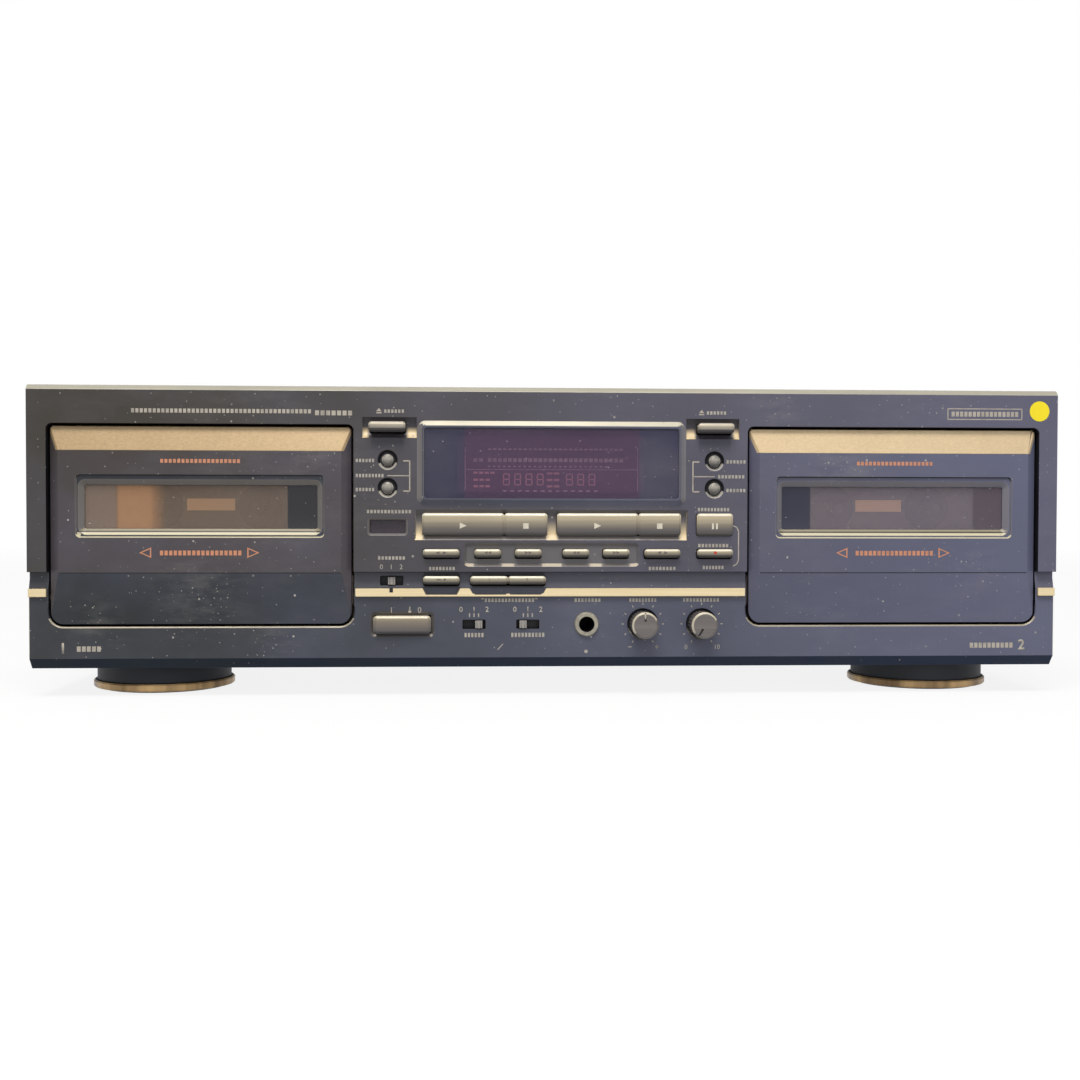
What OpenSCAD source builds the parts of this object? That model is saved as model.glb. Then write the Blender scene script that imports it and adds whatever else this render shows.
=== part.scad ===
/* [Case] */
// Height of the case above its feet
case_h = 118; // [115:0.5:126]
// Depth from the front face to the rear panel
case_d = 272; // [250:1:320]
// Free width of the console between the two door openings
console_w = 166; // [166:1:180]
// Width of the front panel outside each door opening
panel_side_w = 8; // [7:0.5:20]
// Wall of the front panel's sides, top and bottom
panel_wall = 3; // [2:0.1:4]
// Thickness of the front panel behind its upper face
panel_face_t = 4; // [3.4:0.1:5]
// Depth of the front panel back to the top cover's edge
panel_return = 18; // [16:0.5:24]
// Bright chamfer along the top edge of the front panel
top_chamfer = 1.8; // [0.8:0.1:3]
// Sheet thickness of the top cover, bottom pan and rear panel
sheet_t = 1.2; // [0.8:0.1:1.6]
// Amount that the top cover stands inside the front panel's outline
cover_inset = 0.5; // [0.2:0.1:1.5]
// Height of the bottom pan's upright flanges at the sides and the back
pan_flange_h = 14; // [12:0.5:20]
// Height of the bottom pan's upright flange behind the front panel
pan_front_flange_h = 9; // [6:0.5:11]

/* [Front profile] */
// Height of the groove's upper edge above the case bottom
groove_top = 40.5; // [39.5:0.1:42]
// Depth of the groove behind the upper face
groove_depth = 3.6; // [3:0.1:4.5]
// Height of the groove's flat floor, above its sloping part
groove_floor_h = 2.8; // [1:0.1:4]
// Height of the gold trim strip's lower edge
strip_z = 30.1; // [28:0.1:31]
// Height of the gold trim strip
strip_h = 3.5; // [2.5:0.1:4]
// Distance that the lower face stands behind the upper face
lower_setback = 2.5; // [1.5:0.1:3]
// Distance that the trim strip stands in front of the lower face
strip_proud = 1.4; // [0.8:0.1:2]
// Height of the bottom bevel
bevel_h = 4.3; // [3:0.1:6]
// Depth of the bottom bevel
bevel_depth = 3.5; // [2:0.1:5]

/* [Feet] */
// Height of the feet
foot_h = 12.2; // [9:0.1:16]
// Diameter of a foot's body
foot_dia = 58; // [50:0.5:64]
// Diameter of the ring round a foot's base
foot_ring_dia = 61; // [60.5:0.5:68]
// Height of the ring
foot_ring_h = 3.2; // [2:0.1:5]
// Distance of a foot's centre from the side of the panel
foot_inset_x = 46; // [40:1:60]
// Distance of a foot's centre from the front face and from the rear panel
foot_inset_y = 45; // [40:1:60]

/* [Doors] */
// Width of a door opening
door_open_w = 126; // [124:0.5:136]
// Height of the lower edge of the door openings
door_open_z = 17.7; // [16.5:0.1:18.5]
// Height of the panel above the door openings
door_over = 15.9; // [14:0.1:16.5]
// Corner radius at the bottom of a door opening
door_low_r = 6; // [4:0.5:8]
// Corner radius at the top of a door opening
door_high_r = 2.6; // [2:0.1:4]
// Gap between a door and the sides and top of its opening
door_gap = 1; // [0.7:0.1:1.5]
// Gap under a door, which its lower edge swings through
door_low_gap = 1.7; // [1.5:0.1:2.2]
// Distance that a door's flat face stands in front of the panel's upper face
door_proud = 0.5; // [0:0.1:1.5]
// Depth of a door's back behind the panel's upper face
door_back = 4.6; // [4.4:0.1:4.8]
// Height of the crease between a door's flat face and its lower slope
door_crease_z = 40.1; // [38:0.1:44]
// Height of the gold bar along the top of a door
door_bar_h = 10.2; // [8:0.1:12]
// Thickness of the gold bar
door_bar_t = 0.9; // [0.6:0.1:1.2]
// Width of the sloping band down each side of a door
door_band_w = 2.4; // [1.5:0.1:3]
// Height of the hinge line
hinge_z = 29.8; // [29:0.1:31]
// Depth of the hinge line behind the upper face
hinge_depth = 6.5; // [6.4:0.1:7]
// Diameter of a hinge pin
hinge_pin_dia = 3.2; // [2.8:0.1:3.3]
// Clearance round a hinge pin
hinge_clearance = 0.06; // [0.02:0.01:0.1]
// Width of the recess round a door's window
window_w = 101.6; // [96:0.1:104]
// Height of the recess round a door's window
window_h = 25.7; // [22:0.1:28]
// Height of a window's middle
window_z = 67.9; // [66:0.1:69]
// Width of the sloping frame between the recess and the glass
window_frame = 3; // [2:0.1:4]

/* [Cassettes] */
// Width of a cassette
cassette_w = 100.4; // [100:0.1:101]
// Height of a cassette as it stands in the holder
cassette_h = 63.8; // [63:0.1:64.5]
// Thickness of a cassette
cassette_t = 12; // [11:0.1:12.4]
// Clearance round a cassette in its holder
cassette_clearance = 0.6; // [0.3:0.1:1]
// Height of a cassette's lower edge above the case bottom
cassette_z = 33; // [32.5:0.1:33.5]
// Height of the reel line above a cassette's lower edge
reel_above = 34.8; // [34:0.1:35.5]
// Distance between the two reels
reel_pitch = 42.5; // [42:0.1:43]
// Distance between the two capstans
capstan_pitch = 66; // [64:0.5:67]
// Height of the capstans above a cassette's lower edge
capstan_above = 7.8; // [7:0.1:8.5]
// Diameter of a capstan
capstan_dia = 2.2; // [2:0.1:2.6]
// Diameter of a flywheel
flywheel_dia = 42; // [34:0.5:43]
// Diameter of a pinch roller
roller_dia = 12; // [11:0.1:12.2]
// Travel of the head bridge
bridge_travel = 8; // [6:0.1:8]
// Radial clearance of the spinning parts
spin_clearance = 0.04; // [0.02:0.01:0.08]

/* [Display] */
// Width of the raised frame round the display
display_w = 113.2; // [108:0.1:113.2]
// Height of the raised frame round the display
display_h = 35.4; // [32:0.1:36]
// Height of the display's middle
display_z = 86.1; // [86:0.1:87]
// Width of the frame's sloping border
display_bevel = 2.2; // [1.5:0.1:3]
// Distance that the frame stands in front of the panel's upper face
display_proud = 1.5; // [0.8:0.1:2]
// Width of the display tube
tube_w = 80; // [70:0.5:90]
// Height of the display tube
tube_h = 24; // [18:0.5:28]
// Width of the remote sensor's window
sensor_w = 15; // [10:0.1:16]
// Height of the remote sensor's window
sensor_h = 5.6; // [4:0.1:7]
// Height of the remote sensor's middle
sensor_z = 59.5; // [58:0.1:61]

/* [Buttons] */
// Clearance round a button in its hole
button_gap = 0.3; // [0.2:0.05:0.4]
// Travel of the small buttons
button_travel = 1; // [0.6:0.1:1.4]
// Travel of the eject buttons
eject_travel = 3; // [2:0.1:3.4]
// Travel of the power button
power_travel = 3.5; // [2:0.1:3.6]
// Distance of the side columns of controls from the door openings
column_inset = 14.2; // [13:0.1:14.6]
// Width of an eject button
eject_w = 14.6; // [12:0.1:16]
// Height of an eject button
eject_h = 4.2; // [3.4:0.1:5]
// Height of the eject buttons' middle
eject_z = 100.8; // [100:0.1:101.5]
// Diameter of a round button
round_dia = 4.3; // [3.6:0.1:5]
// Diameter of the well round a round button
round_well_dia = 8.3; // [7:0.1:9]
// Height of the upper round buttons
round_high_z = 87.4; // [87:0.1:89]
// Height of the lower round buttons
round_low_z = 75.8; // [75:0.1:77]
// Width of a play button
play_w = 33.7; // [30:0.1:33.8]
// Width of a stop button
stop_w = 17.5; // [15:0.1:17.8]
// Height of the play and stop buttons
play_h = 8.8; // [7:0.1:9.2]
// Height of the play row's middle
play_z = 60.5; // [60:0.1:61]
// Width of the post between deck A's and deck B's play buttons
play_post = 4.6; // [4:0.1:7]
// Width of the record pause button
pause_w = 14.8; // [12:0.1:15]
// Height of the small flat buttons
flat_h = 3.6; // [3:0.1:4]
// Height of the direction, rewind and record mute row
row_two_z = 48.1; // [47.8:0.1:48.4]
// Height of the relay and dubbing row
row_three_z = 36.7; // [36.4:0.1:36.8]
// Width of the direction, record mute and relay buttons
direction_w = 14.6; // [12:0.1:15]
// Width of the rewind and forward buttons
wind_w = 10.6; // [8:0.1:11]
// Distance of a deck's rewind button from its forward button
wind_pitch = 17; // [15:0.1:17.4]
// Width of a dubbing button
dubbing_w = 15.3; // [13:0.1:15.6]
// Width of the power button
power_w = 23.4; // [20:0.1:24]
// Height of the power button
power_h = 7.1; // [6:0.1:8]
// Height of the lowest row of controls
low_row_z = 18.3; // [18:0.1:19]

/* [Switches and knobs] */
// Length of a slide switch's slot
slot_w = 9.6; // [9.4:0.1:10.4]
// Height of a slide switch's slot
slot_h = 3.8; // [3.4:0.1:4.2]
// Width of a slide switch's knob
slider_w = 3; // [2.4:0.1:3.2]
// Step between two positions of a slide switch
slider_step = 2; // [1.6:0.1:2.2]
// Diameter of the bias and level knobs
knob_dia = 11.1; // [10:0.1:12]
// Distance that the knobs stand in front of the lower face
knob_proud = 9; // [7:0.1:14]
// Diameter of the wells round the knobs
knob_well_dia = 13.2; // [12.6:0.1:14.5]
// Place of the bias knob, right of the panel's middle
bias_x = 38.9; // [37:0.1:40]
// Place of the level knob, right of the panel's middle
level_x = 64; // [62:0.1:65]
// Diameter of the knobs' shafts
knob_shaft_dia = 4; // [3:0.1:6]
// Place of the headphone jack, right of the panel's middle
phones_x = 14.9; // [14:0.1:18]
// Bore of the headphone jack
phones_bore = 6.5; // [6.45:0.01:6.6]
// Diameter of the headphone jack's ring
phones_ring = 10.6; // [10:0.1:12]
// Place of the timer switch, left of the panel's middle
timer_x = 32.7; // [31:0.1:34]
// Place of the reverse mode switch, left of the panel's middle
reverse_x = 10; // [8:0.1:12]

/* [Rear] */
// Diameter of a line jack's sleeve
jack_dia = 8.3; // [8.2:0.05:8.4]
// Length of a line jack's sleeve outside the rear panel
jack_len = 8.5; // [7:0.1:10]
// Distance between neighbouring line jacks
jack_pitch = 14; // [13:0.5:19]
// Width of the mains inlet's recess
inlet_w = 15.8; // [15:0.1:17]
// Height of the mains inlet's recess
inlet_h = 9.6; // [9:0.1:10.5]
// Depth of the mains inlet's recess
inlet_depth = 12; // [10:0.5:14]

/* [Hidden] */
$fn = 48;

// Widths and places that follow from the driving sizes
panel_w = console_w + 2 * door_open_w + 2 * panel_side_w;
door_x = console_w / 2 + door_open_w / 2;
column_x = console_w / 2 - column_inset;
cover_w = panel_w - 2 * cover_inset;
cover_top = case_h - cover_inset;
fit_gap = 0.1;
screw_head_h = 2.2;
screw_head_dia = 7.6;
screw_shank_dia = 3.8;
screw_hole_dia = screw_shank_dia + 0.3;
screw_len = 6;
rear_flange_h = 13;
seam = 0.05;
// Length by which a cutting shape reaches past the faces that it opens
past = 1;
// Overlap of two shapes that make one solid
join = 0.01;

// The case's middle in depth lies at y = 0, the knobs and the line jacks counted
knob_front = lower_setback - knob_proud;
jack_end = case_d + jack_len;
front_y = -(knob_front + jack_end) / 2;

// Depths behind the upper face
groove_wall = 2.6;
bevel_wall = 2.4;
lower_back = groove_depth + groove_wall;
well_depth = 22;
well_wall = 2;
plate_t = 1.2;
board_front = 15.6;
board_t = 1.6;
switch_front = 12;
lens_front = 3;
lens_t = 1.6;
display_lens_front = 0.6 - display_proud;
tube_front = 8;
tube_back = 13.5;
pot_front = 9;

// Depths of the buttons' faces
eject_front = -4.5;
round_front = -0.4;
play_front = -2;
flat_front = -3;
row_three_front = -0.5;
power_front = lower_setback - 3;

// Depths of the ledges and wells round the buttons
ledge_depth = 1.6;
eject_scoop_depth = 2.1;
play_scoop_depth = 2;
wind_ledge_depth = 1.3;
sensor_ledge_depth = 0.9;
flange_t = 1;
flange_over = 1.2;

// Heights and widths of the door and what is in it
door_open_h = case_h - door_over - door_open_z;
door_open_mid_z = door_open_z + door_open_h / 2;
door_w = door_open_w - 2 * door_gap;
door_z = door_open_z + door_low_gap;
door_top = door_open_z + door_open_h - door_gap;
door_bar_z = door_top - door_bar_h;
window_ledge = 0.9;
glass_w = window_w - 2 * window_frame;
glass_h = window_h - 2 * window_frame - 1.6;
glass_z = window_z - 0.3;
glass_depth = 2.2;
glass_seat = glass_depth + 0.4;
glass_over_w = 4;
glass_over_h = 3;
reel_z = cassette_z + reel_above;
capstan_z = cassette_z + capstan_above;
holder_t = 0.9;
holder_front = door_back + 0.2;
pocket_front = holder_front + holder_t;
pocket_back = pocket_front + cassette_t + cassette_clearance;
pocket_w = cassette_w + 2 * cassette_clearance;
holder_lip = 6;
roller_gap = 0.15;
roller_rest_z = capstan_z - capstan_dia / 2 - roller_dia / 2 - roller_gap - bridge_travel;

// Groups of buttons, left to right
play_pair_w = play_w + stop_w + 2 * button_gap;
play_a_x = -play_post / 2 - play_pair_w + play_w / 2;
stop_a_x = -play_post / 2 - stop_w / 2;
play_b_x = play_post / 2 + play_w / 2;
stop_b_x = play_post / 2 + play_pair_w - stop_w / 2;
play_scoop_w = 2 * play_pair_w + play_post + 6.4;
direction_x = play_pair_w - direction_w / 2 + play_post / 2 - 0.4;
wind_in_x = wind_w / 2 + 4.7;
wind_out_x = wind_in_x + wind_pitch;
dubbing_pair_w = 2 * dubbing_w + 2 * button_gap;
dubbing_x = -dubbing_w / 2 - 2.8;
normal_x = dubbing_x - dubbing_w - 2 * button_gap;
power_x = -column_x + 6;
noise_x = -column_x + 1.5;

// Moves its children so that y is the depth behind the upper face and z the height in the case
module in_case() {
  translate([0, front_y, foot_h]) children();
}

// Extrudes a shape drawn as width and height from one depth to another
module facing(from, to) {
  translate([0, to, 0]) rotate([90, 0, 0]) linear_extrude(to - from) children();
}

// Extrudes a section drawn as depth and height across the width
module across(w) {
  translate([-w / 2, 0, 0]) rotate([90, 0, 90]) linear_extrude(w) children();
}

// Round rod or hole along the depth, from one depth to another
module rod(x, z, dia, from, to) {
  translate([x, from, z]) rotate([-90, 0, 0]) cylinder(d = dia, h = to - from);
}

// Round rod or hole along the width
module cross_rod(y, z, dia, from, to) {
  translate([from, y, z]) rotate([0, 90, 0]) cylinder(d = dia, h = to - from);
}

// Rectangle about the origin with round corners
module rounded(w, h, r) {
  square([w - 2 * r, h], center = true);
  square([w, h - 2 * r], center = true);
  for (x = [-1, 1], z = [-1, 1])
    translate([x * (w / 2 - r), z * (h / 2 - r)]) circle(r);
}

// Rectangle standing on its lower edge with other radii below and above
module door_outline(w, h, low_r, high_r) {
  translate([-w / 2, low_r]) square([w, h - low_r - high_r]);
  translate([-w / 2 + low_r, 0]) square([w - 2 * low_r, h - high_r]);
  translate([-w / 2 + high_r, low_r]) square([w - 2 * high_r, h - low_r]);
  for (x = [-1, 1]) {
    translate([x * (w / 2 - low_r), low_r]) circle(low_r);
    translate([x * (w / 2 - high_r), h - high_r]) circle(high_r);
  }
}

// Straight slot with round ends
module slot_shape(w, h) {
  square([w - h, h], center = true);
  for (x = [-1, 1]) translate([x * (w - h) / 2, 0]) circle(d = h);
}

// Block with round corners whose outline lies grow_front outside w and h at its front and
// grow_back outside them at its back
module bevelled(w, h, r, grow_front, grow_back, from, to) {
  depth = to - from;
  for (x = [-1, 1], z = [-1, 1])
    translate([x * (w / 2 - r), from, z * (h / 2 - r)]) rotate([-90, 0, 0])
      cylinder(r1 = r + grow_front, r2 = r + grow_back, h = depth);
  translate([0, 0, -(h / 2 - r)]) linear_extrude(h - 2 * r)
    polygon([[-w / 2 - grow_front, from], [w / 2 + grow_front, from],
             [w / 2 + grow_back, to], [-w / 2 - grow_back, to]]);
  across(w - 2 * r)
    polygon([[from, -h / 2 - grow_front], [from, h / 2 + grow_front],
             [to, h / 2 + grow_back], [to, -h / 2 - grow_back]]);
}

// Front panel
panel_section = [
  [panel_return, case_h], [top_chamfer, case_h], [0, case_h - top_chamfer], [0, groove_top],
  [groove_depth, groove_top], [groove_depth, groove_top - groove_floor_h],
  [lower_setback, strip_z + strip_h], [lower_setback, bevel_h],
  [lower_setback + bevel_depth, 0], [panel_return, 0]
];
panel_hollow = [
  [panel_return + past, case_h - panel_wall], [panel_face_t, case_h - panel_wall],
  [panel_face_t, groove_top + bevel_wall], [lower_back, groove_top + bevel_wall],
  [lower_back, bevel_h + 2], [lower_setback + bevel_depth + bevel_wall, panel_wall],
  [panel_return + past, panel_wall]
];

module door_well() {
  rim = door_open_w + 2 * well_wall;
  difference() {
    translate([0, 0, door_open_z - well_wall]) facing(groove_depth + 0.3, well_depth)
      door_outline(rim, door_open_h + 2 * well_wall, door_low_r, door_high_r);
    translate([0, 0, door_open_z]) facing(0, well_depth + past)
      door_outline(door_open_w, door_open_h, door_low_r, door_high_r);
  }
}

module door_opening() {
  hole_end = door_open_w / 2 + well_wall + past;
  translate([0, 0, door_open_z]) facing(-past, well_depth + past)
    door_outline(door_open_w, door_open_h, door_low_r, door_high_r);
  cross_rod(hinge_depth, hinge_z, hinge_pin_dia + 2 * hinge_clearance, -hole_end, hole_end);
}

// The lit lip round the lower half of a door opening
module door_lip() {
  lip = 0.9;
  intersection() {
    translate([0, 0, door_open_mid_z])
      bevelled(door_open_w, door_open_h, door_low_r, lip + 0.6, -0.6,
               lower_setback - 0.6, lower_setback + lip);
    translate([-door_open_w, 0, 0]) cube([2 * door_open_w, 20, strip_z - 4]);
  }
}

module button_hole(x, z, w, h, r = 0.6) {
  translate([x, 0, z]) facing(-past, lower_back + 3)
    rounded(w + 2 * button_gap, h + 2 * button_gap, r + button_gap);
}

// Hollow with a round floor, cut along the width between two heights and two places
module scoop(depth, low_z, high_z, from, to) {
  half_h = (high_z - low_z) / 2;
  radius = (half_h * half_h + depth * depth) / (2 * depth);
  cross_rod(depth - radius, low_z + half_h, 2 * radius, from, to);
}

// Scoop behind an eject button, from the display's frame to just past the button
module eject_recess(side) {
  inner = display_w / 2 + 0.1;
  outer = column_x + eject_w / 2 + 3.2;
  scoop(eject_scoop_depth, eject_z - eject_h, eject_z + eject_h + 0.2,
        side > 0 ? inner : -outer, side > 0 ? outer : -inner);
}

// Scoop behind the whole play row
module play_recess() {
  scoop(play_scoop_depth, play_z - play_h / 2 - 2.2, play_z + play_h / 2 + 1.8,
        -play_scoop_w / 2, play_scoop_w / 2);
}

module wind_recess() {
  translate([0, 0, row_two_z - 0.3])
    bevelled(2 * wind_out_x + wind_w + 7, 2 * flat_h + 0.4, 0.8, 1.2, 0, -join, wind_ledge_depth);
}

// Place of a window: its hole and the seat of the window behind it
module window_cut(x, z, w, h, r, lens_w, lens_h, seat_front) {
  translate([x, 0, z]) facing(-display_proud - past, seat_front + join) rounded(w, h, r);
  translate([x, 0, z]) facing(seat_front, panel_face_t + past)
    rounded(lens_w + 2 * fit_gap, lens_h + 2 * fit_gap, r + 0.5);
}

module front_panel() color([0.30, 0.30, 0.32]) in_case() {
  difference() {
    union() {
      difference() {
        across(panel_w) polygon(panel_section);
        across(panel_w - 2 * panel_wall) polygon(panel_hollow);
      }
      translate([0, 0, display_z])
        bevelled(display_w - 2 * display_bevel, display_h - 2 * display_bevel, 1.4, 0,
                 display_bevel, -display_proud, join);
      for (side = [-1, 1]) translate([side * door_x, 0, 0]) door_well();
      for (side = [-1, 1], z = [board_low_z + board_post_inset, board_high_z - board_post_inset])
        rod(side * board_post_x, z, board_post_dia, panel_face_t - past, board_front);
    }
    for (side = [-1, 1]) translate([side * door_x, 0, 0]) {
      door_opening();
      door_lip();
    }
    // Display and remote sensor
    window_cut(0, display_z, display_hole_w, display_hole_h, 1.4, display_lens_w, display_lens_h,
               display_lens_front);
    translate([-column_x, 0, sensor_z])
      bevelled(sensor_w, sensor_h, 0.6, 0.9, 0, -join, sensor_ledge_depth);
    window_cut(-column_x, sensor_z, sensor_w, sensor_h, 0.6, sensor_lens_w, sensor_lens_h,
               lens_front);
    // Recesses
    for (side = [-1, 1]) eject_recess(side);
    play_recess();
    wind_recess();
    translate([power_x, 0, low_row_z])
      bevelled(power_w + 1.4, power_h + 1.4, 1, 1, 0, lower_setback - join, lower_setback + 1.4);
    for (side = [-1, 1], z = [round_high_z, round_low_z]) {
      translate([side * column_x, -join, z]) rotate([-90, 0, 0])
        cylinder(d1 = round_well_dia, d2 = round_well_dia - 1.8, h = ledge_depth);
      rod(side * column_x, z, round_dia + 2 * button_gap, 0, panel_face_t + past);
    }
    for (x = [bias_x, level_x]) {
      translate([x, lower_setback - join, low_row_z]) rotate([-90, 0, 0])
        cylinder(d1 = knob_well_dia, d2 = knob_well_dia - 1, h = ledge_depth);
      rod(x, low_row_z, knob_shaft_dia + 2, 0, lower_back + past);
    }
    rod(phones_x, low_row_z, phones_ring - 2 + 2 * fit_gap, 0, lower_back + past);
    // Holes of the buttons and slide switches
    for (side = [-1, 1]) button_hole(side * column_x, eject_z, eject_w, eject_h);
    for (x = [-1, 1]) button_hole(x * (play_post + play_pair_w) / 2, play_z, play_pair_w, play_h);
    button_hole(column_x, play_z, pause_w, play_h);
    for (side = [-1, 1]) button_hole(side * direction_x, row_two_z, direction_w, flat_h);
    button_hole(column_x, row_two_z, direction_w, flat_h);
    for (side = [-1, 1], x = [wind_in_x, wind_out_x])
      button_hole(side * x, row_two_z, wind_w, flat_h);
    button_hole(-direction_x, row_three_z, direction_w, flat_h);
    button_hole((normal_x + dubbing_x) / 2, row_three_z, dubbing_pair_w, flat_h);
    button_hole(power_x, low_row_z, power_w, power_h);
    for (p = switch_places) translate([p[0], 0, p[1]]) facing(-past, lower_back + past)
      rounded(slot_w, slot_h, 0.4);
  }
}

// Gold strip, in two stubs beside the doors and a long piece between them, which is cut
// away under the relay and dubbing buttons
module trim_strip() color([0.88, 0.78, 0.60]) in_case() {
  front = lower_setback - strip_proud;
  stub_w = panel_side_w - 0.6;
  long_w = console_w - 1.2;
  notch_floor = 1.2 - strip_h;
  notch_flare = 1.4;
  for (side = [-1, 1])
    translate([side * (panel_w - stub_w) / 2, 0, strip_z + strip_h / 2])
      facing(front, lower_setback) square([stub_w, strip_h - 0.1], center = true);
  difference() {
    translate([0, 0, strip_z + strip_h / 2]) facing(front, lower_setback)
      square([long_w, strip_h - 0.1], center = true);
    for (cut = [[-direction_x, direction_w - 2.8], [(normal_x + dubbing_x) / 2, dubbing_pair_w - 1.6]])
      translate([cut[0], 0, strip_z + strip_h]) facing(-past, groove_depth + past)
        polygon([[-cut[1] / 2 - notch_flare, 0.1], [cut[1] / 2 + notch_flare, 0.1],
                 [cut[1] / 2, notch_floor], [-cut[1] / 2, notch_floor]]);
  }
}

// Smoked windows of the display and the remote sensor
display_hole_w = display_w - 2 * display_bevel - 1.6;
display_hole_h = display_h - 2 * display_bevel - 1.6;
display_lens_w = display_hole_w + 1.6;
display_lens_h = display_hole_h + 1.6;
sensor_lens_w = sensor_w + 2;
sensor_lens_h = sensor_h + 2;
module front_windows() color([0.20, 0.17, 0.24, 0.6]) in_case() {
  translate([0, 0, display_z]) facing(display_lens_front, display_lens_front + lens_t)
    rounded(display_lens_w, display_lens_h, 1.8);
  translate([-column_x, 0, sensor_z]) facing(lens_front, lens_front + lens_t)
    rounded(sensor_lens_w, sensor_lens_h, 0.9);
}

// Control board with its switches, pots and the display tube
board_low_z = 7.5;
board_high_z = 110;
board_post_x = console_w / 2 - 8;
board_post_dia = 5;
board_post_inset = 3;
board_w = console_w - 2 * well_wall - 3;
pot_w = 12;
switch_places = [[noise_x, row_three_z], [-timer_x, low_row_z], [-reverse_x, low_row_z]];
function button_places() = concat(
  [for (s = [-1, 1]) [s * column_x, eject_z]],
  [for (s = [-1, 1], z = [round_high_z, round_low_z]) [s * column_x, z]],
  [for (x = [play_a_x, stop_a_x, play_b_x, stop_b_x, column_x]) [x, play_z]],
  [for (s = [-1, 1], x = [wind_in_x, wind_out_x, direction_x]) [s * x, row_two_z]],
  [[column_x, row_two_z]],
  [for (x = [-direction_x, normal_x, dubbing_x]) [x, row_three_z]],
  [[power_x, low_row_z]]);
module control_board() in_case() {
  color([0.25, 0.42, 0.25]) difference() {
    translate([0, 0, (board_low_z + board_high_z) / 2]) facing(board_front, board_front + board_t)
      square([board_w, board_high_z - board_low_z], center = true);
    translate([phones_x, 0, low_row_z]) facing(board_front - 1, board_front + board_t + 1)
      square([jack_body_w + 0.6, jack_body_w + 0.6], center = true);
  }
  color([0.12, 0.12, 0.13]) for (p = button_places())
    translate([p[0], 0, p[1]]) facing(switch_front, board_front - seam) square([6, 6], center = true);
  color([0.55, 0.55, 0.52]) for (p = switch_places) translate([p[0], 0, p[1]])
    facing(switch_front, board_front - seam) square([11, 5], center = true);
  color([0.35, 0.35, 0.38]) for (x = [bias_x, level_x]) difference() {
    translate([x, 0, low_row_z]) facing(pot_front, board_front - seam)
      square([pot_w, pot_w], center = true);
    rod(x, low_row_z, knob_shaft_dia + 2 * spin_clearance, pot_front - past, board_front - 1);
  }
  color([0.45, 0.50, 0.52]) translate([0, 0, display_z]) facing(tube_front, tube_back)
    rounded(tube_w, tube_h, 1);
  color([0.12, 0.12, 0.13]) for (side = [-1, 1]) translate([side * (tube_w / 2 - 8), 0, display_z])
    facing(tube_back + seam, board_front - seam) square([10, tube_h - 6], center = true);
}

// Headphone jack, with the ring in front of the panel and the body behind
jack_body_w = 13;
phones_depth = 34;
phones_ring_t = 1.2;
module headphone_jack() color([0.62, 0.58, 0.50]) in_case() {
  difference() {
    union() {
      translate([phones_x, lower_setback - phones_ring_t, low_row_z]) rotate([-90, 0, 0])
        cylinder(d1 = phones_ring - 1, d2 = phones_ring, h = phones_ring_t);
      rod(phones_x, low_row_z, phones_ring - 2, lower_setback - 0.1, lower_back + 0.2);
      translate([phones_x, 0, low_row_z]) facing(lower_back + fit_gap, phones_depth)
        square([jack_body_w, jack_body_w], center = true);
    }
    rod(phones_x, low_row_z, phones_bore, lower_setback - phones_ring_t - past, phones_depth - 2);
  }
}

// Doors
module door_section() {
  polygon([[lower_setback, door_top], [-door_proud, door_bar_z], [-door_proud, door_crease_z],
           [lower_setback, door_z], [door_back, door_z], [door_back, door_top]]);
}

module door_blank() {
  intersection() {
    translate([0, 0, door_z]) facing(-5, door_back)
      door_outline(door_w, door_top - door_z, door_low_r - door_gap, door_high_r - door_gap);
    across(door_w) door_section();
    translate([0, 0, door_z - 1]) linear_extrude(door_top - door_z + 2)
      polygon([[-door_w / 2, lower_setback], [-door_w / 2 + door_band_w, -door_proud],
               [door_w / 2 - door_band_w, -door_proud], [door_w / 2, lower_setback],
               [door_w / 2, door_back], [-door_w / 2, door_back]]);
  }
}

// The slope over the door's upper edge, as deep as asked
module bar_zone(depth) {
  across(door_w)
    polygon([[-door_proud - past, door_bar_z], [-door_proud + depth, door_bar_z],
             [lower_setback + depth, door_top + join], [-door_proud - past, door_top + join]]);
}

module door(deck) color([0.28, 0.28, 0.30]) in_case() translate([deck * door_x, 0, 0])
  difference() {
    door_blank();
    bar_zone(door_bar_t + seam);
    translate([0, 0, window_z]) facing(-door_proud - past, -door_proud + window_ledge)
      rounded(window_w, window_h, 1.7);
    translate([0, 0, glass_z])
      bevelled(glass_w, glass_h, 0.8, window_frame - 0.6, 0,
               -door_proud + window_ledge - join, glass_depth);
    translate([0, 0, glass_z]) facing(0, door_back + past) rounded(glass_w, glass_h, 0.8);
    translate([0, 0, glass_z]) facing(glass_seat, door_back + past)
      rounded(glass_w + glass_over_w + 2 * fit_gap, glass_h + glass_over_h + 2 * fit_gap, 1);
  }

module door_bar(deck) color([0.85, 0.75, 0.57]) in_case() translate([deck * door_x, 0, 0])
  intersection() {
    door_blank();
    bar_zone(door_bar_t);
  }

module door_window(deck) color([0.25, 0.20, 0.18, 0.5]) in_case()
  translate([deck * door_x, 0, glass_z]) facing(glass_seat, glass_seat + lens_t)
    rounded(glass_w + glass_over_w, glass_h + glass_over_h, 0.9);

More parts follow.
